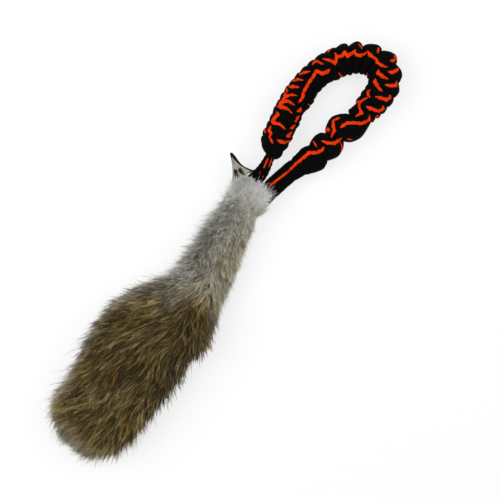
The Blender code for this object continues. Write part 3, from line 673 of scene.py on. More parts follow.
def grow_locks(rng, seed, low_x, high_x, count):
    # Where each lock grows, how it lies and what shade it has
    x, angle = scatter(rng, count, low_x, high_x)
    place, along, around, normal = pelt_axes(x, angle)
    y = place[:, 1]
    greyness = climb(place[:, 0] + field(place, 30, seed + 5) * 0.020, *GREY_ALONG)
    swirl = field(place, 22, seed) * 0.34 + field(place, 75, seed + 3) * 0.30 + rng.normal(0, 0.17, count)
    forward = climb(x, rng.uniform(*FORWARD_RANGE, count), 0.008)
    flow = fur_flow(x, angle, along, around, swirl * blended(*LOCK_WILDNESS, greyness), greyness, forward)
    by_flap = climb(x, 0.050, 0.014) * climb(y, 0.005, 0.010)
    over_strap = climb(x, 0.052, 0.012) * climb(-y, -0.006, 0.010)
    near_tail = 0.40 * climb(x, TAIL_X, 0.030) + 0.60
    by_place = near_tail * (1 - 0.45 * by_flap) * (1 + 0.85 * over_strap * climb(np.sin(angle), 0.10, 0.4))
    flank = np.abs(np.cos(angle)) ** 4
    length = blended(*LOCK_LENGTH, greyness) * rng.uniform(*LOCK_LENGTH_RANGE, count) * by_place
    length = length * (1 + 0.05 * flank)
    left = climb(y, 0.004, 0.014) * greyness
    raised = blended(*LOCK_RAISED, greyness) * (1 + left) + (19 + 12 * (y < 0)) * flank * (1 - 0.4 * greyness)
    lift = np.radians(rng.uniform(*LIFT_RANGE, count) + raised)
    droop = np.radians(rng.uniform(*DROOP_RANGE, count) + blended(*LOCK_DROOP, greyness))
    sweep = rng.normal(0, 1, count) * blended(*LOCK_SWEEP, greyness)
    slack = rng.gamma(1.4, 0.0042 - 0.0014 * greyness * (y < 0), count) * (1 - 0.7 * climb(x, 0.030, 0.02))
    length = length * within_outline(hair_paths(place, normal, flow, length, lift, droop, sweep), slack)
    guide = hair_paths(place, normal, flow, length, lift, droop, sweep)
    smooth_front = climb(x, 0.045, 0.025)
    unlike = blended(*LOCK_UNLIKENESS, greyness) * (1 - 0.5 * smooth_front)
    cloudy = field(place, 60, seed + 9) * 0.32 * (1 - 0.6 * smooth_front)
    shade = np.exp(rng.normal(0, 1, count) * unlike - unlike ** 2 * 0.28 + cloudy)
    brown_kind = rng.choice(4, count, p=BROWN_TIP_CHANCES)
    grey_kind = rng.choice(4, count, p=GREY_TIP_CHANCES)
    return SimpleNamespace(
        x=x, angle=angle, greyness=greyness, wispy=left * flank, over_strap=over_strap, flow=flow,
        length=length, lift=lift, droop=droop, sweep=sweep, guide=guide, shade=shade,
        brown_kind=brown_kind, grey_kind=grey_kind)


def grow_fur(name, seed, low_x, high_x, lock_count, hairs_per_lock, look):
    # Hairs keep to their lock, apart from the strays, which are longer, thinner and loose.
    # They stay within the box and above the floor
    rng = np.random.default_rng(seed)
    locks = grow_locks(rng, seed, low_x, high_x, lock_count)
    owner = np.repeat(np.arange(lock_count), hairs_per_lock)
    count = len(owner)
    grey, wispy = locks.greyness[owner], locks.wispy[owner]
    spread = blended(*LOCK_SPREAD, grey)
    x = np.clip(locks.x[owner] + rng.normal(0, 1, count) * spread, TAIL_X + 0.0005, MOUTH_X - 0.0005)
    angle = locks.angle[owner] + rng.normal(0, 1, count) * spread / 0.040
    place, _, _, normal = pelt_axes(x, angle)
    flow = locks.flow[owner] + rng.normal(0, 0.13, (count, 3))
    flow = unit(flow - normal * np.sum(flow * normal, axis=1, keepdims=True))
    stray = rng.uniform(0, 1, count) < blended(*STRAY_SHARE, wispy)
    length = locks.length[owner] * rng.uniform(*HAIR_LENGTH_RANGE, count)
    length = length * np.where(stray, blended(*STRAY_LENGTH, wispy), 1.0)
    lift = locks.lift[owner] + np.radians(rng.normal(0, 6, count) + np.where(stray, 7, 0))
    sweep = locks.sweep[owner] + np.where(stray, rng.normal(0, 0.7, count), 0)
    paths = hair_paths(place, normal, flow, length, lift, locks.droop[owner], sweep)
    hold = (rng.uniform(*HOLD_RANGE, count) - blended(*LOOSENESS, grey)) * np.where(stray, STRAY_HOLD, 1.0)
    paths = blended(paths, locks.guide[owner], LOCK_HOLD[None, :, None] * hold[:, None, None])
    paths = within_box(rng, paths)
    rest = rng.uniform(0.0004, REST_GAP - 0.0004, (count, 1))
    paths[..., 2] = np.maximum(paths[..., 2], rest)
    width = rng.uniform(*WIDTH_RANGE, count) * np.where(stray, STRAY_WIDTH, 1.0)
    width = width * blended(*HAIR_SLENDERNESS, grey) * (1 - 0.35 * locks.over_strap[owner])
    under_left = climb(np.cos(angle), 0.60, 0.2) * climb(-np.sin(angle), -0.72, 0.4)
    root, tip = fur_tints(rng, place, owner, locks, under_left)
    return hair_mesh(name, paths, width, root, tip, look)


# Handle: webbing gathered over an elastic cord
WEBBING_SIDES = 92
SLEEVE_RINGS = 640
STRAP_RINGS = 110
SLEEVE_SQUARENESS = 2.35
FOLD_LEAN = 0.0016
FOLD_ROUNDNESS = 0.62
# Folds that stand higher than this are gathers: they lean, and the valleys between them
# show on top, at least by a share of the height
GATHER_HEIGHT = 0.0085
TOP_VALLEY = 0.13
TOP_VALLEY_SHARE = 0.6
# The sleeve starts narrow at the left strap, and its inner edge is drawn back there
START_SIZE = 0.30
OUTER_START_RUN = 0.013
INNER_START_RUN = 0.008
START_LEAN = 0.0062
START_LEAN_RUN = 0.018
HEADING_STEP = 0.004
# Unevenness of the webbing and its scale
UNEVENNESS = 0.035
UNEVEN_SCALE = 130
# The underside has the same tracers, shifted along the loop and drawn outwards
UNDERSIDE_SHIFT = 0.006
UNDERSIDE_SHARE = 0.9
FLANK_WEIGHT = 0.9
SLEEVE_PAST_END = 0.001
FLOOR_GAP = 0.0003
# Threads: the seam swings by an angle to either side of its own, the tacks go back and forth
SEAM_ANGLE = pi + radians(38)
SEAM_SWING = 0.0028 / 0.026
SEAM_PITCH = 0.0028
SEAM_HEIGHT = 0.0005
SEAM_RADIUS = 0.0006
TACK_STITCHES = 19
TACK_REACH = 0.0011
TACK_RADIUS = 0.00045
# Middle lines of the straps, from inside the neck to the sleeve
LEFT_STRAP_WAY = ((0.030, 0.0162), (0.078, 0.0136), (0.100, 0.0128), (0.1190, 0.0168), (0.1290, 0.0205))
RIGHT_STRAP_WAY = ((0.030, -0.0033), (0.078, -0.0062), (0.100, -0.0100), (0.1230, -0.0148), (0.1300, -0.0166))
TRACER_REACH = 0.004
TRACER_HALF_WIDTH = 0.0017
TRACER_TAPER = 0.003
# How ragged the tracer's edge is and how softly it ends, as shares of the reach
TRACER_FUZZ = 0.22
TRACER_BLUR = 0.05

# Tracers on the upper face, as lines across the floor: place in millimetres and fullness
LEFT_TRACERS = (
    ((224, 50, 0.7), (229, 47, 1.1), (235, 41, 0.5)),
    ((212, 52, 0.7), (218, 48, 1.0), (221, 41, 0.4)),
    ((204, 52, 0.9), (207, 47, 1.3), (211, 40, 0.6)),
    ((191, 50, 0.6), (200, 49, 0.8)),
    ((186, 47, 0.9), (192, 47, 1.2), (198, 42, 0.9), (201, 36, 0.5)),
    ((176, 47, 1.2), (185, 46, 1.5), (189, 41, 1.1), (190, 31, 0.7)),
    ((176, 47, 1.2), (179, 41, 1.4), (181, 35, 0.9), (180, 27, 0.4)),
    ((170, 44, 0.8), (168, 41, 1.3), (158, 42, 1.2), (157, 38, 1.4), (160, 32, 1.0), (159, 22, 0.5)),
    ((151, 39, 0.7), (146, 38, 1.1), (144, 33, 0.9), (140, 33, 0.5), (138, 29, 0.8), (135, 23, 0.5)),
    ((143, 23, 0.6), (143, 19, 1.2), (146, 12, 1.5)),
    ((152, 16, 0.7), (156, 14, 1.3), (161, 14, 1.0)),
    ((164, 18, 1.0), (167, 16, 1.3), (171, 16, 0.7)),
    ((174, 18, 0.8), (178, 18, 1.2), (183, 19, 0.7)),
    ((186, 24, 1.0), (189, 22, 1.3), (193, 23, 0.7)),
    ((196, 29, 0.9), (204, 29, 1.1), (209, 32, 1.1), (217, 33, 1.1), (224, 34, 1.1), (232, 34, 1.1),
     (240, 35, 1.2), (242, 27, 1.3), (247, 24, 1.3), (252, 23, 1.0)),
)
BEND_TRACERS = (
    ((244, 44, 0.7), (250, 44, 1.0), (252, 33, 0.5)),
    ((257, 38, 0.6), (260, 31, 1.0), (262, 23, 0.8)),
    ((262, 31, 0.9), (261, 22, 1.0), (269, 25, 1.1), (272, 30, 0.7)),
    ((270, 25, 1.0), (274, 21, 1.3), (280, 21, 1.1), (278, 15, 1.2), (285, 13, 1.2), (290, 12, 0.9)),
    ((287, 10, 1.1), (286, 7, 1.2), (288, 3, 1.2), (292, 1, 1.0), (296, -1, 0.6)),
    ((298, -1, 0.9), (296, -6, 1.3), (296, -11, 1.1), (297, -16, 0.9), (294, -19, 1.1), (294, -25, 1.1),
     (297, -32, 0.7)),
    ((288, -25, 0.8), (284, -28, 1.3), (284, -35, 1.2), (286, -42, 0.6)),
    ((277, -29, 0.6), (273, -31, 1.3), (270, -39, 1.1), (269, -46, 0.8)),
    ((262, -33, 0.5), (259, -31, 0.9), (255, -34, 0.9), (254, -38, 0.6)),
    ((253, -36, 0.6), (247, -33, 0.8), (241, -31, 1.0), (236, -35, 0.7), (232, -41, 1.2), (225, -38, 0.7)),
    ((293, -37, 1.0), (295, -41, 1.3), (301, -44, 1.1), (307, -45, 1.0)),
    ((278, -44, 0.9), (281, -50, 1.2), (286, -55, 1.2), (291, -52, 0.7)),
    ((259, -43, 0.8), (261, -48, 1.1), (264, -56, 1.2), (269, -58, 1.0), (273, -55, 0.4)),
    ((242, -41, 0.8), (243, -46, 1.3), (247, -57, 1.1), (253, -60, 1.0), (256, -56, 0.4)),
    ((305, -30, 0.6), (309, -34, 1.2), (314, -35, 1.1), (315, -30, 0.6)),
    ((312, -7, 0.6), (310, -10, 1.0), (304, -12, 0.9)),
    ((299, 13, 0.5), (297, 7, 0.8)),
)
RIGHT_TRACERS = (
    ((202, -31, 1.1), (211, -34, 1.1), (216, -40, 1.1), (222, -49, 1.2), (231, -54, 1.0), (236, -51, 0.6)),
    ((211, -23, 0.9), (204, -18, 1.0), (198, -23, 1.0), (195, -27, 1.1), (186, -29, 0.8)),
    ((175, -23, 0.8), (177, -30, 1.1), (182, -37, 1.2), (192, -40, 1.1)),
    ((169, -13, 0.5), (165, -22, 0.6)),
    ((196, -46, 0.4), (199, -52, 0.5)),
    ((117, -11, 0.8), (127, -13, 0.8), (134, -14, 1.0), (145, -17, 1.1), (154, -19, 1.3), (159, -26, 1.2),
     (166, -30, 1.1), (170, -29, 0.8)),
)
# Tracers that cross the flanks, as lines in millimetres along the loop and above its middle
FLANK_TRACERS = (
    ((22, 12), (26, 4), (31, -3)),
    ((47, 3), (51, -5), (53, -12)),
    ((79, 11), (80, 2), (85, -6)),
    ((112, 2), (119, -4), (121, -12)),
    ((143, 12), (147, 5), (148, -2)),
    ((171, -2), (178, -8), (184, -12)),
    ((204, 11), (208, 3), (215, -4)),
    ((236, 4), (241, -4), (241, -12)),
    ((262, 12), (266, 6), (272, 3)),
    ((287, -1), (296, -5), (303, -12)),
    ((317, 12), (322, 4), (330, -2)),
)
RIGHT_STRAP_TRACERS = (
    ((91, -4.2), (94, -4.9), (102, -6.9), (111, -9.4), (118, -11.4), (126, -13.0), (142, -15.4)),
)
RIGHT_STRAP_WEIGHTS = (0.80,)
LEFT_STRAP_TRACERS = (
    ((105.5, 15.2), (113, 17.0), (124, 19.4), (133, 21)),
    ((110.2, 11), (118, 13.2), (127, 15.6)),
    ((96.2, 15.0), (98.8, 15.6)),
    ((94.6, 9.0), (96.8, 9.4)),
)
LEFT_STRAP_WEIGHTS = (0.62, 0.42, 0.40, 0.45)

# Folds from the left strap round to the right one, in millimetres: where each starts along
# the outer and the inner edge, how far it stands out there, its half height and, as shares,
# how deep the valley before it is at the outer and the inner edge
FOLDS = np.array((
    (-3, -7, 13.0, 15.4, 15.5, 0.00, 0.00),
    (9, 12, 16.6, 19.2, 17.5, 0.14, 0.08),
    (19, 23, 17.6, 20.2, 18.3, 0.10, 0.06),
    (29, 33, 16.9, 19.6, 18.3, 0.09, 0.05),
    (39, 43, 16.8, 20.9, 18.5, 0.08, 0.05),
    (48, 53, 17.3, 19.8, 18.5, 0.09, 0.05),
    (58, 62, 17.3, 18.8, 18.5, 0.08, 0.05),
    (67, 72, 17.6, 21.3, 18.6, 0.09, 0.05),
    (76, 81, 18.0, 21.6, 18.6, 0.09, 0.05),
    (86, 91, 17.4, 19.7, 18.5, 0.09, 0.05),
    (96, 101, 16.9, 20.0, 18.5, 0.10, 0.06),
    (106, 110, 16.4, 19.8, 18.5, 0.09, 0.05),
    (116, 119, 15.8, 20.6, 18.8, 0.10, 0.06),
    (127, 131, 15.6, 24.0, 19.0, 0.12, 0.07),
    (140, 145, 15.8, 23.2, 19.0, 0.13, 0.08),
    (153, 158, 17.2, 23.2, 19.0, 0.14, 0.08),
    (166, 171, 18.7, 21.4, 19.0, 0.34, 0.10),
    (180, 184, 21.4, 19.6, 19.0, 0.36, 0.10),
    (197, 197, 28.0, 18.0, 19.0, 0.26, 0.10),
    (211, 207, 26.6, 16.8, 19.0, 0.16, 0.10),
    (225, 217, 23.8, 16.4, 19.0, 0.14, 0.08),
    (238, 229, 20.4, 18.6, 19.0, 0.13, 0.08),
    (248, 241, 18.5, 20.0, 18.8, 0.12, 0.07),
    (258, 254, 16.6, 19.4, 18.6, 0.12, 0.07),
    (265, 268, 14.6, 17.6, 18.2, 0.14, 0.08),
    (272, 285, 18.6, 24.0, 19.0, 0.30, 0.40),
    (312, 324, 19.6, 18.6, 19.0, 0.58, 0.42),
    (345, 348, 18.4, 18.6, 17.5, 0.24, 0.20),
    (367, 374, 12.4, 13.6, 7.0, 0.08, 0.05),
    (380, 382, 13.0, 9.6, 4.0, 0.00, 0.00),
    (388, 388, 13.0, 9.0, 3.4, 0.00, 0.00),
)) / ((1000,) * 5 + (1, 1))


def plan_curve(points, count):
    # Smooth curve through points of the floor plan, as rows of run, x and y
    rows = [(0.0, *points[0])]
    for start, end in zip(points, points[1:]):
        rows.append((rows[-1][0] + hypot(end[0] - start[0], end[1] - start[1]), *end))
    runs = np.linspace(0, rows[-1][0], count)
    return np.array([(run, smooth_value(rows, 1, run), smooth_value(rows, 2, run)) for run in runs])


LOOP_CURVE = plan_curve([(LOOP_X + a * LOOP_LENGTH, b * LOOP_WIDTH) for a, b in LOOP_POINT_SHARES], 481)
LOOP_CURVE[1:, 0] = np.cumsum(np.linalg.norm(np.diff(LOOP_CURVE[:, 1:], axis=0), axis=1))


def along_curve(curve, run):
    # Places and headings along a plan curve
    def at(where):
        return np.stack([read_off(curve, where, k) for k in (1, 2)], axis=-1)

    heading = unit(at(run + HEADING_STEP) - at(run - HEADING_STEP))
    beyond = run - np.clip(run, curve[0, 0], curve[-1, 0])
    return at(run) + heading * beyond[:, None], heading


def sleeve_section(run, angle):
    # How far aside (outer side positive), how high and how far forward a point stands
    numbers = np.arange(len(FOLDS))
    inner_share = (1 - np.cos(angle)) / 2
    on_outer = np.cos(angle) > 0
    count = blended(*(np.interp(run, FOLDS[:, k], numbers) for k in (0, 1)), inner_share)
    valley = 1 - np.abs(np.sin(pi * (count % 1))) ** FOLD_ROUNDNESS
    depth = blended(*(np.interp(count, numbers, FOLDS[:, k]) for k in (5, 6)), inner_share)
    outer, inner, height = (np.interp(count - 0.5, numbers, FOLDS[:, k]) for k in (2, 3, 4))
    gathered = height > GATHER_HEIGHT
    sideways, upward = squarish_ring(angle, SLEEVE_SQUARENESS)
    reach = np.where(on_outer, outer, inner) * (1 - depth * valley)
    top = height * (1 - np.where(gathered, depth * TOP_VALLEY_SHARE + TOP_VALLEY, 0.0) * valley)
    started = climb(run, 0.0, np.where(on_outer, OUTER_START_RUN, INNER_START_RUN))
    size = blended(START_SIZE, 1.0, np.sqrt(1 - (1 - started) ** 2))
    lean = FOLD_LEAN * (0.5 - valley) * gathered
    lean = lean - START_LEAN * inner_share * np.clip(1 - run / START_LEAN_RUN, 0, 1)
    return sideways * reach * size, upward * top * size, lean


def tracer_distance(plan, lines, weights):
    # Distance from each plan point to the nearest tracer, as a share of the reach, with the
    # tracer thinner towards its ends and uneven along the way
    best = np.full(len(plan), 1.0)
    for number, (line, weight) in enumerate(zip(lines, weights)):
        marks = np.array([point[:2] for point in line]) / 1000
        sizes = [point[2] if len(point) > 2 else 1.0 for point in line]
        steps = np.linalg.norm(np.diff(marks, axis=0), axis=1)
        total = steps.sum()
        before = 0.0
        for a, b, size, next_size, step in zip(marks, marks[1:], sizes, sizes[1:], steps):
            along = np.clip(((plan - a) @ (b - a)) / ((b - a) @ (b - a)), 0, 1)
            far = np.linalg.norm(plan - a - along[:, None] * (b - a), axis=1)
            run = before + along * step
            taper = np.minimum(np.minimum(run, total - run) / TRACER_TAPER, 1.0)
            wave = 0.13 * np.sin(run * 900 + number * 1.7) + 0.12 * np.sin(run * 2300 + number)
            fullness = (0.50 + 0.48 * taper + wave) * weight * (size + (next_size - size) * along)
            best = np.minimum(best, far / fullness / TRACER_REACH)
            before += step
    return best


def webbing_tube(name, nodes, curve, past_end, rings, shape_of, look, lines, weights, flank_lines=()):
    # A grid wrapped round into a tube, section by section, with its ends closed
    shape, along, around = grid_shape(rings, WEBBING_SIDES)
    run = along * (curve[-1, 0] + 2 * past_end) - past_end
    angle = around * 2 * pi
    aside, up, lean = shape_of(run, angle)
    place, heading = along_curve(curve, run + lean)
    outward = np.stack([-heading[:, 1], heading[:, 0]], axis=-1) * aside[:, None]
    scale = 1 + UNEVENNESS * wander(np.column_stack([place + outward, up]), UNEVEN_SCALE)
    plan = place + outward * scale[:, None]
    below = place + heading * UNDERSIDE_SHIFT - outward * UNDERSIDE_SHARE
    tracer = tracer_distance(np.where(up[:, None] >= 0, plan, below), lines, weights)
    if flank_lines:
        # On the flanks the sleeve's own tracers take over from those of its faces
        upright = climb(-np.abs(np.sin(angle)), -0.60, 0.20)
        flank = tracer_distance(np.stack([run, up], axis=-1), flank_lines, [FLANK_WEIGHT] * len(flank_lines))
        tracer = np.minimum(tracer + upright, np.where(np.abs(np.cos(angle)) > 0.5, flank, 1.0))
    texture = shape.loops.layers.uv.new("webbing")
    for face in shape.faces:
        for loop in face.loops:
            i = loop.vert.index
            loop[texture].uv = (run[i], around[i])
    height = np.maximum(STRAP_HEIGHT + up * scale, FLOOR_GAP)
    put_verts(shape, np.column_stack([plan, height]), "tracer", tracer)
    close_and_turn_out(shape)
    return finish_mesh(name, shape, look, nodes)


def thread(name, node, points, radius, look, rides_on):
    # Round thread along a path of points
    path = bpy.data.curves.new(name, "CURVE")
    path.dimensions = "3D"
    line = path.splines.new("POLY")
    line.points.add(len(points) - 1)
    for place, point in zip(line.points, points):
        place.co = (*point, 1.0)
    path.bevel_depth = radius
    path.bevel_resolution = 2
    path.use_fill_caps = True
    guide = bpy.data.objects.new(name, path)
    shape = bmesh.new()
    shape.from_mesh(bpy.data.meshes.new_from_object(guide))
    bpy.data.objects.remove(guide)
    bmesh.ops.recalc_face_normals(shape, faces=shape.faces)
    carry(finish_mesh(name, shape, look, (node,)), rides_on)


def skin_seam(part, start, end, look):
    # Whip stitches low on the right side, where the wrapped skin closes
    places = np.arange(start, end, SEAM_PITCH)
    swing = np.where(np.arange(len(places)) % 2, SEAM_SWING, -SEAM_SWING)
    place, _, _, normal = pelt_axes(places, SEAM_ANGLE + swing)
    thread(f"skin_seam_{part}", f"seam_{part}", place + normal * SEAM_HEIGHT, SEAM_RADIUS, look, part)


def bar_tack(side, middle, heading, width, height, look):
    # Close zigzag stitches across a strap
    way = Vector(heading).normalized()
    points = []
    for i in range(TACK_STITCHES):
        across = width * (i / (TACK_STITCHES - 1) - 0.5)
        forth = TACK_REACH if i % 2 else -TACK_REACH
        place = Vector(middle) + way * forth + Vector((-way.y, way.x)) * across
        points.append((*place, STRAP_HEIGHT + height))
    thread(f"tack_{side}", f"bar_tack_{side}", points, TACK_RADIUS, look, "handle")


def core_strip(name, nodes, low_x, high_x, by, look):
    # Flat webbing down the middle of the skin
    bottom, top = (corner.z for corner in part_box("core_neck"))
    shape, along, across = grid_shape(60, 4)
    x = low_x + along * (high_x - low_x)
    put_verts(shape, np.column_stack([x, pelt_middle(x) + (across - 0.5) * CORE_WIDTH, np.full(len(x), top)]))
    grown = bmesh.ops.extrude_face_region(shape, geom=list(shape.faces))["geom"]
    lower = [item for item in grown if isinstance(item, bmesh.types.BMVert)]
    bmesh.ops.translate(shape, verts=lower, vec=(0, 0, bottom - top))
    bmesh.ops.recalc_face_normals(shape, faces=shape.faces)
    carry(finish_mesh(name, shape, look, nodes, smooth=False), by)


def cores():
    look = plain_weave("core_strap", (8, 8, 9), (24, 24, 26), 420, 0.85)
    front, rear = ("core_neck", "core_bend", "core_body"), ("core_fold", "core_tail")
    rear_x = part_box("core_tail")[0].x
    core_strip("core_strap_front", front, HIDE_SPLIT_X, CORE_FRONT_X, "body_bend", look)
    core_strip("core_strap_rear", rear, rear_x, HIDE_SPLIT_X, "tail_lift", look)


def flat_tube(angle, half_width, half_thickness):
    # Section of webbing lying flat
    sideways = np.cos(angle)
    upward = np.sign(np.sin(angle)) * (1 - np.abs(sideways) ** 5) ** 0.2
    return sideways, sideways * half_width, upward * half_thickness


def left_strap_section(run, angle):
    # Folded lengthwise by the sleeve, it opens and crumples towards the fur
    opened = climb(-run, -0.096, 0.040)
    ragged = 0.0005 * np.sin(run * 1500) * np.sin(run * 430 + 1)
    sideways, aside, up = flat_tube(angle, 0.0056 + 0.0046 * opened + ragged, 0.0028 - 0.0008 * opened)
    creases = 0.30 * np.exp(-(sideways / 0.20) ** 2) + 0.16 * opened * np.cos(sideways * 9 + run * 160)
    return aside + 0.0022 * opened, up * (1 - creases), 0 * run


def right_strap_section(run, angle):
    # Drawn in where the neck holds it
    sideways, aside, up = flat_tube(angle, 0.0070 + 0.0051 * climb(run, 0.024, 0.020), 0.0017)
    return aside, up * (1 - 0.06 * np.cos(sideways * 5)), 0 * run


def webbing_material():
    # Black webbing with orange tracers woven in
    look = Finish("tubular_webbing", roughness=0.85, specular=0.04)
    place = look.node("UVMap", uv_map="webbing").outputs["UV"]
    stretch = look.node("Mapping", (("Vector", place), ("Scale", (1.0, 0.11, 1.0)))).outputs["Vector"]
    weave = look.node("TexWave", (("Vector", stretch), ("Scale", 260), ("Distortion", 1.5), ("Detail", 1)),
                      wave_type="BANDS", bands_direction="DIAGONAL").outputs["Fac"]
    fuzz = look.node("TexNoise", (("Vector", look.on_object()), ("Scale", 900), ("Detail", 2))).outputs["Fac"]
    uneven = look.node("Math", ((0, fuzz), (1, TRACER_FUZZ), (2, look.attribute("tracer"))),
                       operation="MULTIPLY_ADD").outputs[0]
    half = TRACER_HALF_WIDTH / TRACER_REACH + TRACER_FUZZ / 2
    edge = look.node("MapRange", (("Value", uneven), ("From Min", half - TRACER_BLUR),
                                  ("From Max", half + TRACER_BLUR), ("To Min", 1.0), ("To Max", 0.0)))
    black = look.ramp(weave, (0.0, srgb(0, 0, 0)), (1.0, srgb(6, 7, 6)))
    orange = look.ramp(weave, (0.0, srgb(208, 36, 0)), (1.0, srgb(240, 66, 4)))
    color = look.mix(edge.outputs["Result"], black, orange)
    return look.paint(color, weave, distance=0.0004, strength=0.6)


def handle():
    webbing = webbing_material()
    lines = LEFT_TRACERS + BEND_TRACERS + RIGHT_TRACERS
    sleeves = ("sleeve_left", "sleeve_grip", "sleeve_right")
    made = webbing_tube("gathered_sleeve", sleeves, LOOP_CURVE, SLEEVE_PAST_END, SLEEVE_RINGS, sleeve_section,
                        webbing, lines, [1.0] * len(lines), FLANK_TRACERS)
    carry(made, "bungee_stretch")
    straps = (
        ("left", LEFT_STRAP_WAY, left_strap_section, LEFT_STRAP_TRACERS, LEFT_STRAP_WEIGHTS),
        ("right", RIGHT_STRAP_WAY, right_strap_section, RIGHT_STRAP_TRACERS, RIGHT_STRAP_WEIGHTS),
    )
    for side, way, shape_of, lines, weights in straps:
        nodes = (f"strap_end_{side}", f"strap_{side}")
        made = webbing_tube(f"{side}_strap", nodes, plan_curve(way, 121), 0.0, STRAP_RINGS, shape_of, webbing,
                            lines, weights)
        carry(made, "handle_lift")


# Flap: the bare corner of the skin with a black backing. Edges from the hinge to the tip, and
# the lines of the slits, in millimetres
FLAP_REAR_EDGE = ((67.6, 34.4), (68.5, 37.2), (72.5, 39.6), (76.5, 42.4), (80.5, 45.8), (84.5, 49.2),
                  (87.6, 52.2), (90.6, 55.6))
FLAP_FRONT_EDGE = ((91.9, 26.0), (92.0, 26.5), (91.0, 31.0), (90.3, 36.0), (90.1, 41.0), (90.5, 46.0),
                   (91.2, 50.6), (92.2, 55.2))
BACKING_REAR_EDGE = ((69.5, 36.4), (73.5, 39.0), (77.5, 42.0), (82.0, 46.0), (86.5, 50.6), (90.6, 55.8),
                     (94.4, 60.4))
BACKING_FRONT_EDGE = ((95.6, 22.5), (93.6, 29.0), (92.2, 35.2), (92.2, 41.0), (93.5, 46.6), (95.7, 52.2),
                      (96.8, 58.6))
SLITS = (((75.9, 33.9), (78.6, 38.2), (81.6, 42.2)), ((83.4, 30.2), (84.4, 35.0), (85.9, 39.6)))
FLAP_HEIGHT = 0.0208
BACKING_HEIGHT = 0.0182
FLAP_UNEVENNESS = 0.0005
FLAP_UNEVEN_SCALE = 160
# A slit is sunk, with a raised rim: by how much, and how far from its line as shares of the reach
SLIT_DEPTH = 0.0009
SLIT_REACH = 0.24
RIM_RISE = 0.0005
RIM_AT = 0.36
RIM_WIDTH = 0.10


def edge_point(edge, share):
    # Place on an edge, by the share of the way from its hinge end to its tip
    places = np.linspace(0, 1, len(edge))
    return np.stack([np.interp(share, places, np.array(edge)[:, k]) for k in (0, 1)], axis=-1) / 1000


def flap_sheet(name, node, rear, front, height, thickness, lift, look, slits=()):
    # A sheet ruled between two edges, from the hinge line to the tip
    shape, out, across = grid_shape(64, 56)
    plan = blended(edge_point(rear, out), edge_point(front, out), across[:, None])
    uneven = wander(np.column_stack([plan, 0 * out]), FLAP_UNEVEN_SCALE) * FLAP_UNEVENNESS
    far = tracer_distance(plan, slits, [1.0] * len(slits))
    rim = RIM_RISE * np.exp(-((far - RIM_AT) / RIM_WIDTH) ** 2)
    z = height + lift * out ** 2 + uneven - SLIT_DEPTH * np.clip(1 - far / SLIT_REACH, 0, 1) + rim
    put_verts(shape, np.column_stack([plan, z]), "slit", far)
    bmesh.ops.recalc_face_normals(shape, faces=shape.faces)
    bmesh.ops.solidify(shape, geom=list(shape.faces), thickness=thickness)
    bmesh.ops.remove_doubles(shape, verts=shape.verts, dist=0.00002)
    bmesh.ops.recalc_face_normals(shape, faces=shape.faces)
    carry(finish_mesh(name, shape, look, (node,)), "flap")


def suede_material():
    # Bare flesh side of the skin: warm grey, stained brown round the slits
    look = Finish("bare_suede", roughness=0.9, specular=0.2)
    where = look.on_object()
    cloud = look.node("TexNoise", (("Vector", where), ("Scale", 150), ("Detail", 4))).outputs["Fac"]
    base = look.ramp(cloud, (0.3, srgb(112, 111, 100)), (0.75, srgb(168, 168, 160)))
    slit = look.attribute("slit")
    stain = look.ramp(slit, (0.30, srgb(22, 16, 8)), (0.42, srgb(78, 54, 24)), (0.52, srgb(142, 114, 72)),
                      (0.66, (1, 1, 1)))
    fade = look.node("MapRange", (("Value", slit), ("From Min", 0.50), ("From Max", 0.68)))
    grain = look.node("TexNoise", (("Vector", where), ("Scale", 1500))).outputs["Fac"]
    return look.paint(look.mix(fade.outputs["Result"], stain, base), grain)


def plain_weave(name, dark, light, scale, roughness):
    # Cloth or thread with fine ribs in it
    look = Finish(name, roughness, specular=0.15)
    inputs = (("Vector", look.on_object()), ("Scale", scale), ("Distortion", 2))
    rib = look.node("TexWave", inputs, bands_direction="DIAGONAL").outputs["Fac"]
    return look.paint(look.ramp(rib, (0.0, srgb(*dark)), (1.0, srgb(*light))), rib)


BLACK_THREAD = ((3, 3, 4), (16, 16, 18))
BROWN_THREAD = ((40, 27, 12), (84, 58, 28))


def stitches():
    brown = plain_weave("brown_thread", *BROWN_THREAD, 1500, 0.7)
    black = plain_weave("black_thread", *BLACK_THREAD, 1500, 0.8)
    skin_seam("neck", BEND_X + 0.020, MOUTH_X - 0.014, brown)
    skin_seam("body", FOLD_X + 0.024, BEND_X - 0.020, brown)
    skin_seam("tail", TAIL_X + 0.020, FOLD_X - 0.024, brown)
    bar_tack("left", (0.1195, 0.0168), (1.0, 0.32), 0.0086, 0.0026, black)
    bar_tack("right", (0.1190, -0.0138), (1.0, -0.22), 0.0160, 0.0018, black)


def flap():
    flap_sheet("suede_flap", "pelt_flap", FLAP_REAR_EDGE, FLAP_FRONT_EDGE, FLAP_HEIGHT, 0.0014, 0.0012,
               suede_material(), SLITS)
    black = plain_weave("black_backing", (3, 3, 4), (14, 14, 16), 500, 0.85)
    flap_sheet("flap_rim", "flap_backing", BACKING_REAR_EDGE, BACKING_FRONT_EDGE, BACKING_HEIGHT, 0.0016,
               0.0014, black)


def repaint():
    # Finishes for the pieces of the frame that stay as they are, by how their names start
    finishes = (
        ("bungee", "elastic_cord", (18, 18, 20), (44, 44, 46), 600, 0.75),
        ("anchor", "stitching_thread", *BROWN_THREAD, 1500, 0.7),
        ("flap_stitch", "sunk_thread", (16, 11, 5), (46, 31, 13), 1500, 0.8),
    )
    for start, *finish in finishes:
        look = plain_weave(*finish)
        for name, node in frame["nodes"].items():
            if name.startswith(start):
                for place in node.material_slots:
                    place.material = look


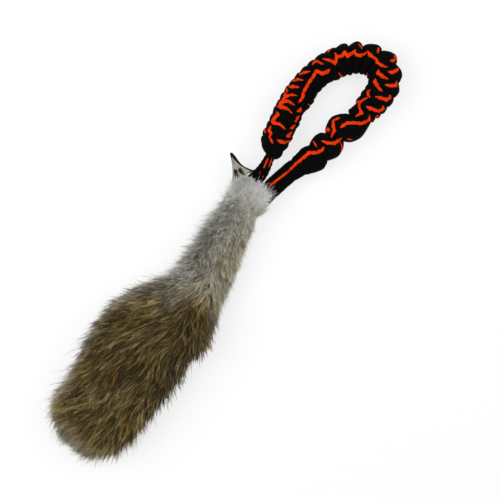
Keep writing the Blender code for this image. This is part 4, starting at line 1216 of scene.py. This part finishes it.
# Surroundings
def world():
    # Soft even light, with a white backdrop
    scene = bpy.context.scene
    scene.world = bpy.data.worlds.new("studio")
    sky = Network(scene.world)
    light = sky.nodes["Background"]
    light.inputs["Color"].default_value = (0.95, 0.97, 1.0, 1.0)
    light.inputs["Strength"].default_value = 0.55
    backdrop = sky.node("Background", (("Color", (1.0, 1.0, 1.0, 1.0)),))
    sky.seen_directly(light, backdrop, 1.0, "World Output")
    scene.view_settings.view_transform = "Standard"


def floor():
    shape = bmesh.new()
    bmesh.ops.create_grid(shape, x_segments=1, y_segments=1, size=3.0)
    bmesh.ops.translate(shape, verts=shape.verts, vec=(0, 0, -0.0004))
    look = Finish("pale_floor", roughness=0.9)
    look.shader.inputs["Base Color"].default_value = (0.88, 0.88, 0.88, 1.0)
    glow = look.node("Emission", (("Color", (1, 1, 1, 1)), ("Strength", 1.0)))
    look.seen_directly(look.shader, glow, 0.72, "Material Output")
    finish_mesh("floor", shape, look.made, smooth=False)


def put(name, data, place):
    made = bpy.data.objects.new(name, data)
    bpy.context.scene.collection.objects.link(made)
    made.location = place
    return made


def softbox(name, place, size, power):
    data = bpy.data.lights.new(name, "AREA")
    data.size = size
    data.energy = power
    made = put(name, data, place)
    made.rotation_euler = (Vector((0.0, 0.0, 0.02)) - Vector(place)).to_track_quat("-Z", "Y").to_euler()


def camera():
    data = bpy.data.cameras.new("photo_camera")
    data.lens = LENS
    data.sensor_width = SENSOR
    x, y, height = VIEW_CENTRE
    made = put("photo_camera", data, (x, y, height + LENS / SENSOR * VIEW_WIDTH))
    made.rotation_euler = (0.0, 0.0, radians(VIEW_TURN))
    bpy.context.scene.camera = made


# Padded pieces: name, start and end, solids that they replace, what carries them, slot, how
# much smaller than the skin they are and whether the tail's end is closed
FRONT_SOLIDS = ("pelt_neck", "pelt_bend", "pelt_body")
REAR_SOLIDS = ("pelt_fold", "pelt_tail")
SKINS = (
    ("pelt_skin_front", HIDE_SPLIT_X, MOUTH_X, FRONT_SOLIDS, "body_bend", "grey_fur", 0.0, False),
    ("pelt_skin_rear", TAIL_X, HIDE_SPLIT_X, REAR_SOLIDS, "tail_lift", "brown_fur", 0.0, True),
)
LUMPS = (
    ("filling_lump_neck", BEND_X + 0.018, 0.029, ("filling_neck",), "neck", "fibre", 0.0042, False),
    ("filling_lump_body", FOLD_X + 0.021, BEND_X - 0.022, ("filling_body",), "body", "fibre", 0.0042, False),
    ("filling_lump_tail", TAIL_X + 0.010, FOLD_X - 0.021, ("filling_tail",), "tail", "fibre", 0.0060, False),
)
# Patches of the coat: name, seed, start and end, locks, hairs in each, joint and slot
PATCHES = (
    ("fur_neck_front", 1, 0.012, 0.050, 1700, 5, "body_bend", "grey_fur"),
    ("fur_mouth", 7, 0.050, MOUTH_X - 0.001, 2100, 5, "flap_lift", "grey_fur"),
    ("fur_neck_rear", 2, BEND_X + 0.004, 0.012, 2450, 5, "body_bend", "grey_fur"),
    ("fur_shoulder", 3, HIDE_SPLIT_X, BEND_X + 0.004, 4100, 3, "body_bend", "brown_fur"),
    ("fur_back_front", 4, FOLD_X + 0.004, HIDE_SPLIT_X, 4100, 3, "tail_lift", "brown_fur"),
    ("fur_back_rear", 5, -0.245, FOLD_X + 0.004, 3700, 3, "tail_lift", "brown_fur"),
    ("fur_tail", 6, TAIL_X + 0.0004, -0.245, 4100, 3, "tail_lift", "brown_fur"),
)


def padded_pieces(rows, look):
    for name, start, end, nodes, by, slot, inset, closed_tail in rows:
        carry(hide_piece(name, start, end, nodes, look, inset, closed_tail), by)


def main():
    camera()
    world()
    floor()
    softbox("key_light", (-0.55, 0.75, 1.25), 1.1, 15)
    softbox("fill_light", (0.8, -0.5, 1.1), 1.2, 8)

    fur, underfur = fur_material(), hide_material()
    padded_pieces(SKINS, underfur)
    padded_pieces(LUMPS, plain_weave("filling_fibre", (196, 192, 180), (226, 223, 214), 90, 0.95))
    for name, seed, low_x, high_x, lock_count, hairs_per_lock, joint, slot in PATCHES:
        carry(grow_fur(name, seed, low_x, high_x, lock_count, hairs_per_lock, fur), joint)
    cores()
    handle()
    stitches()
    flap()
    repaint()


main()
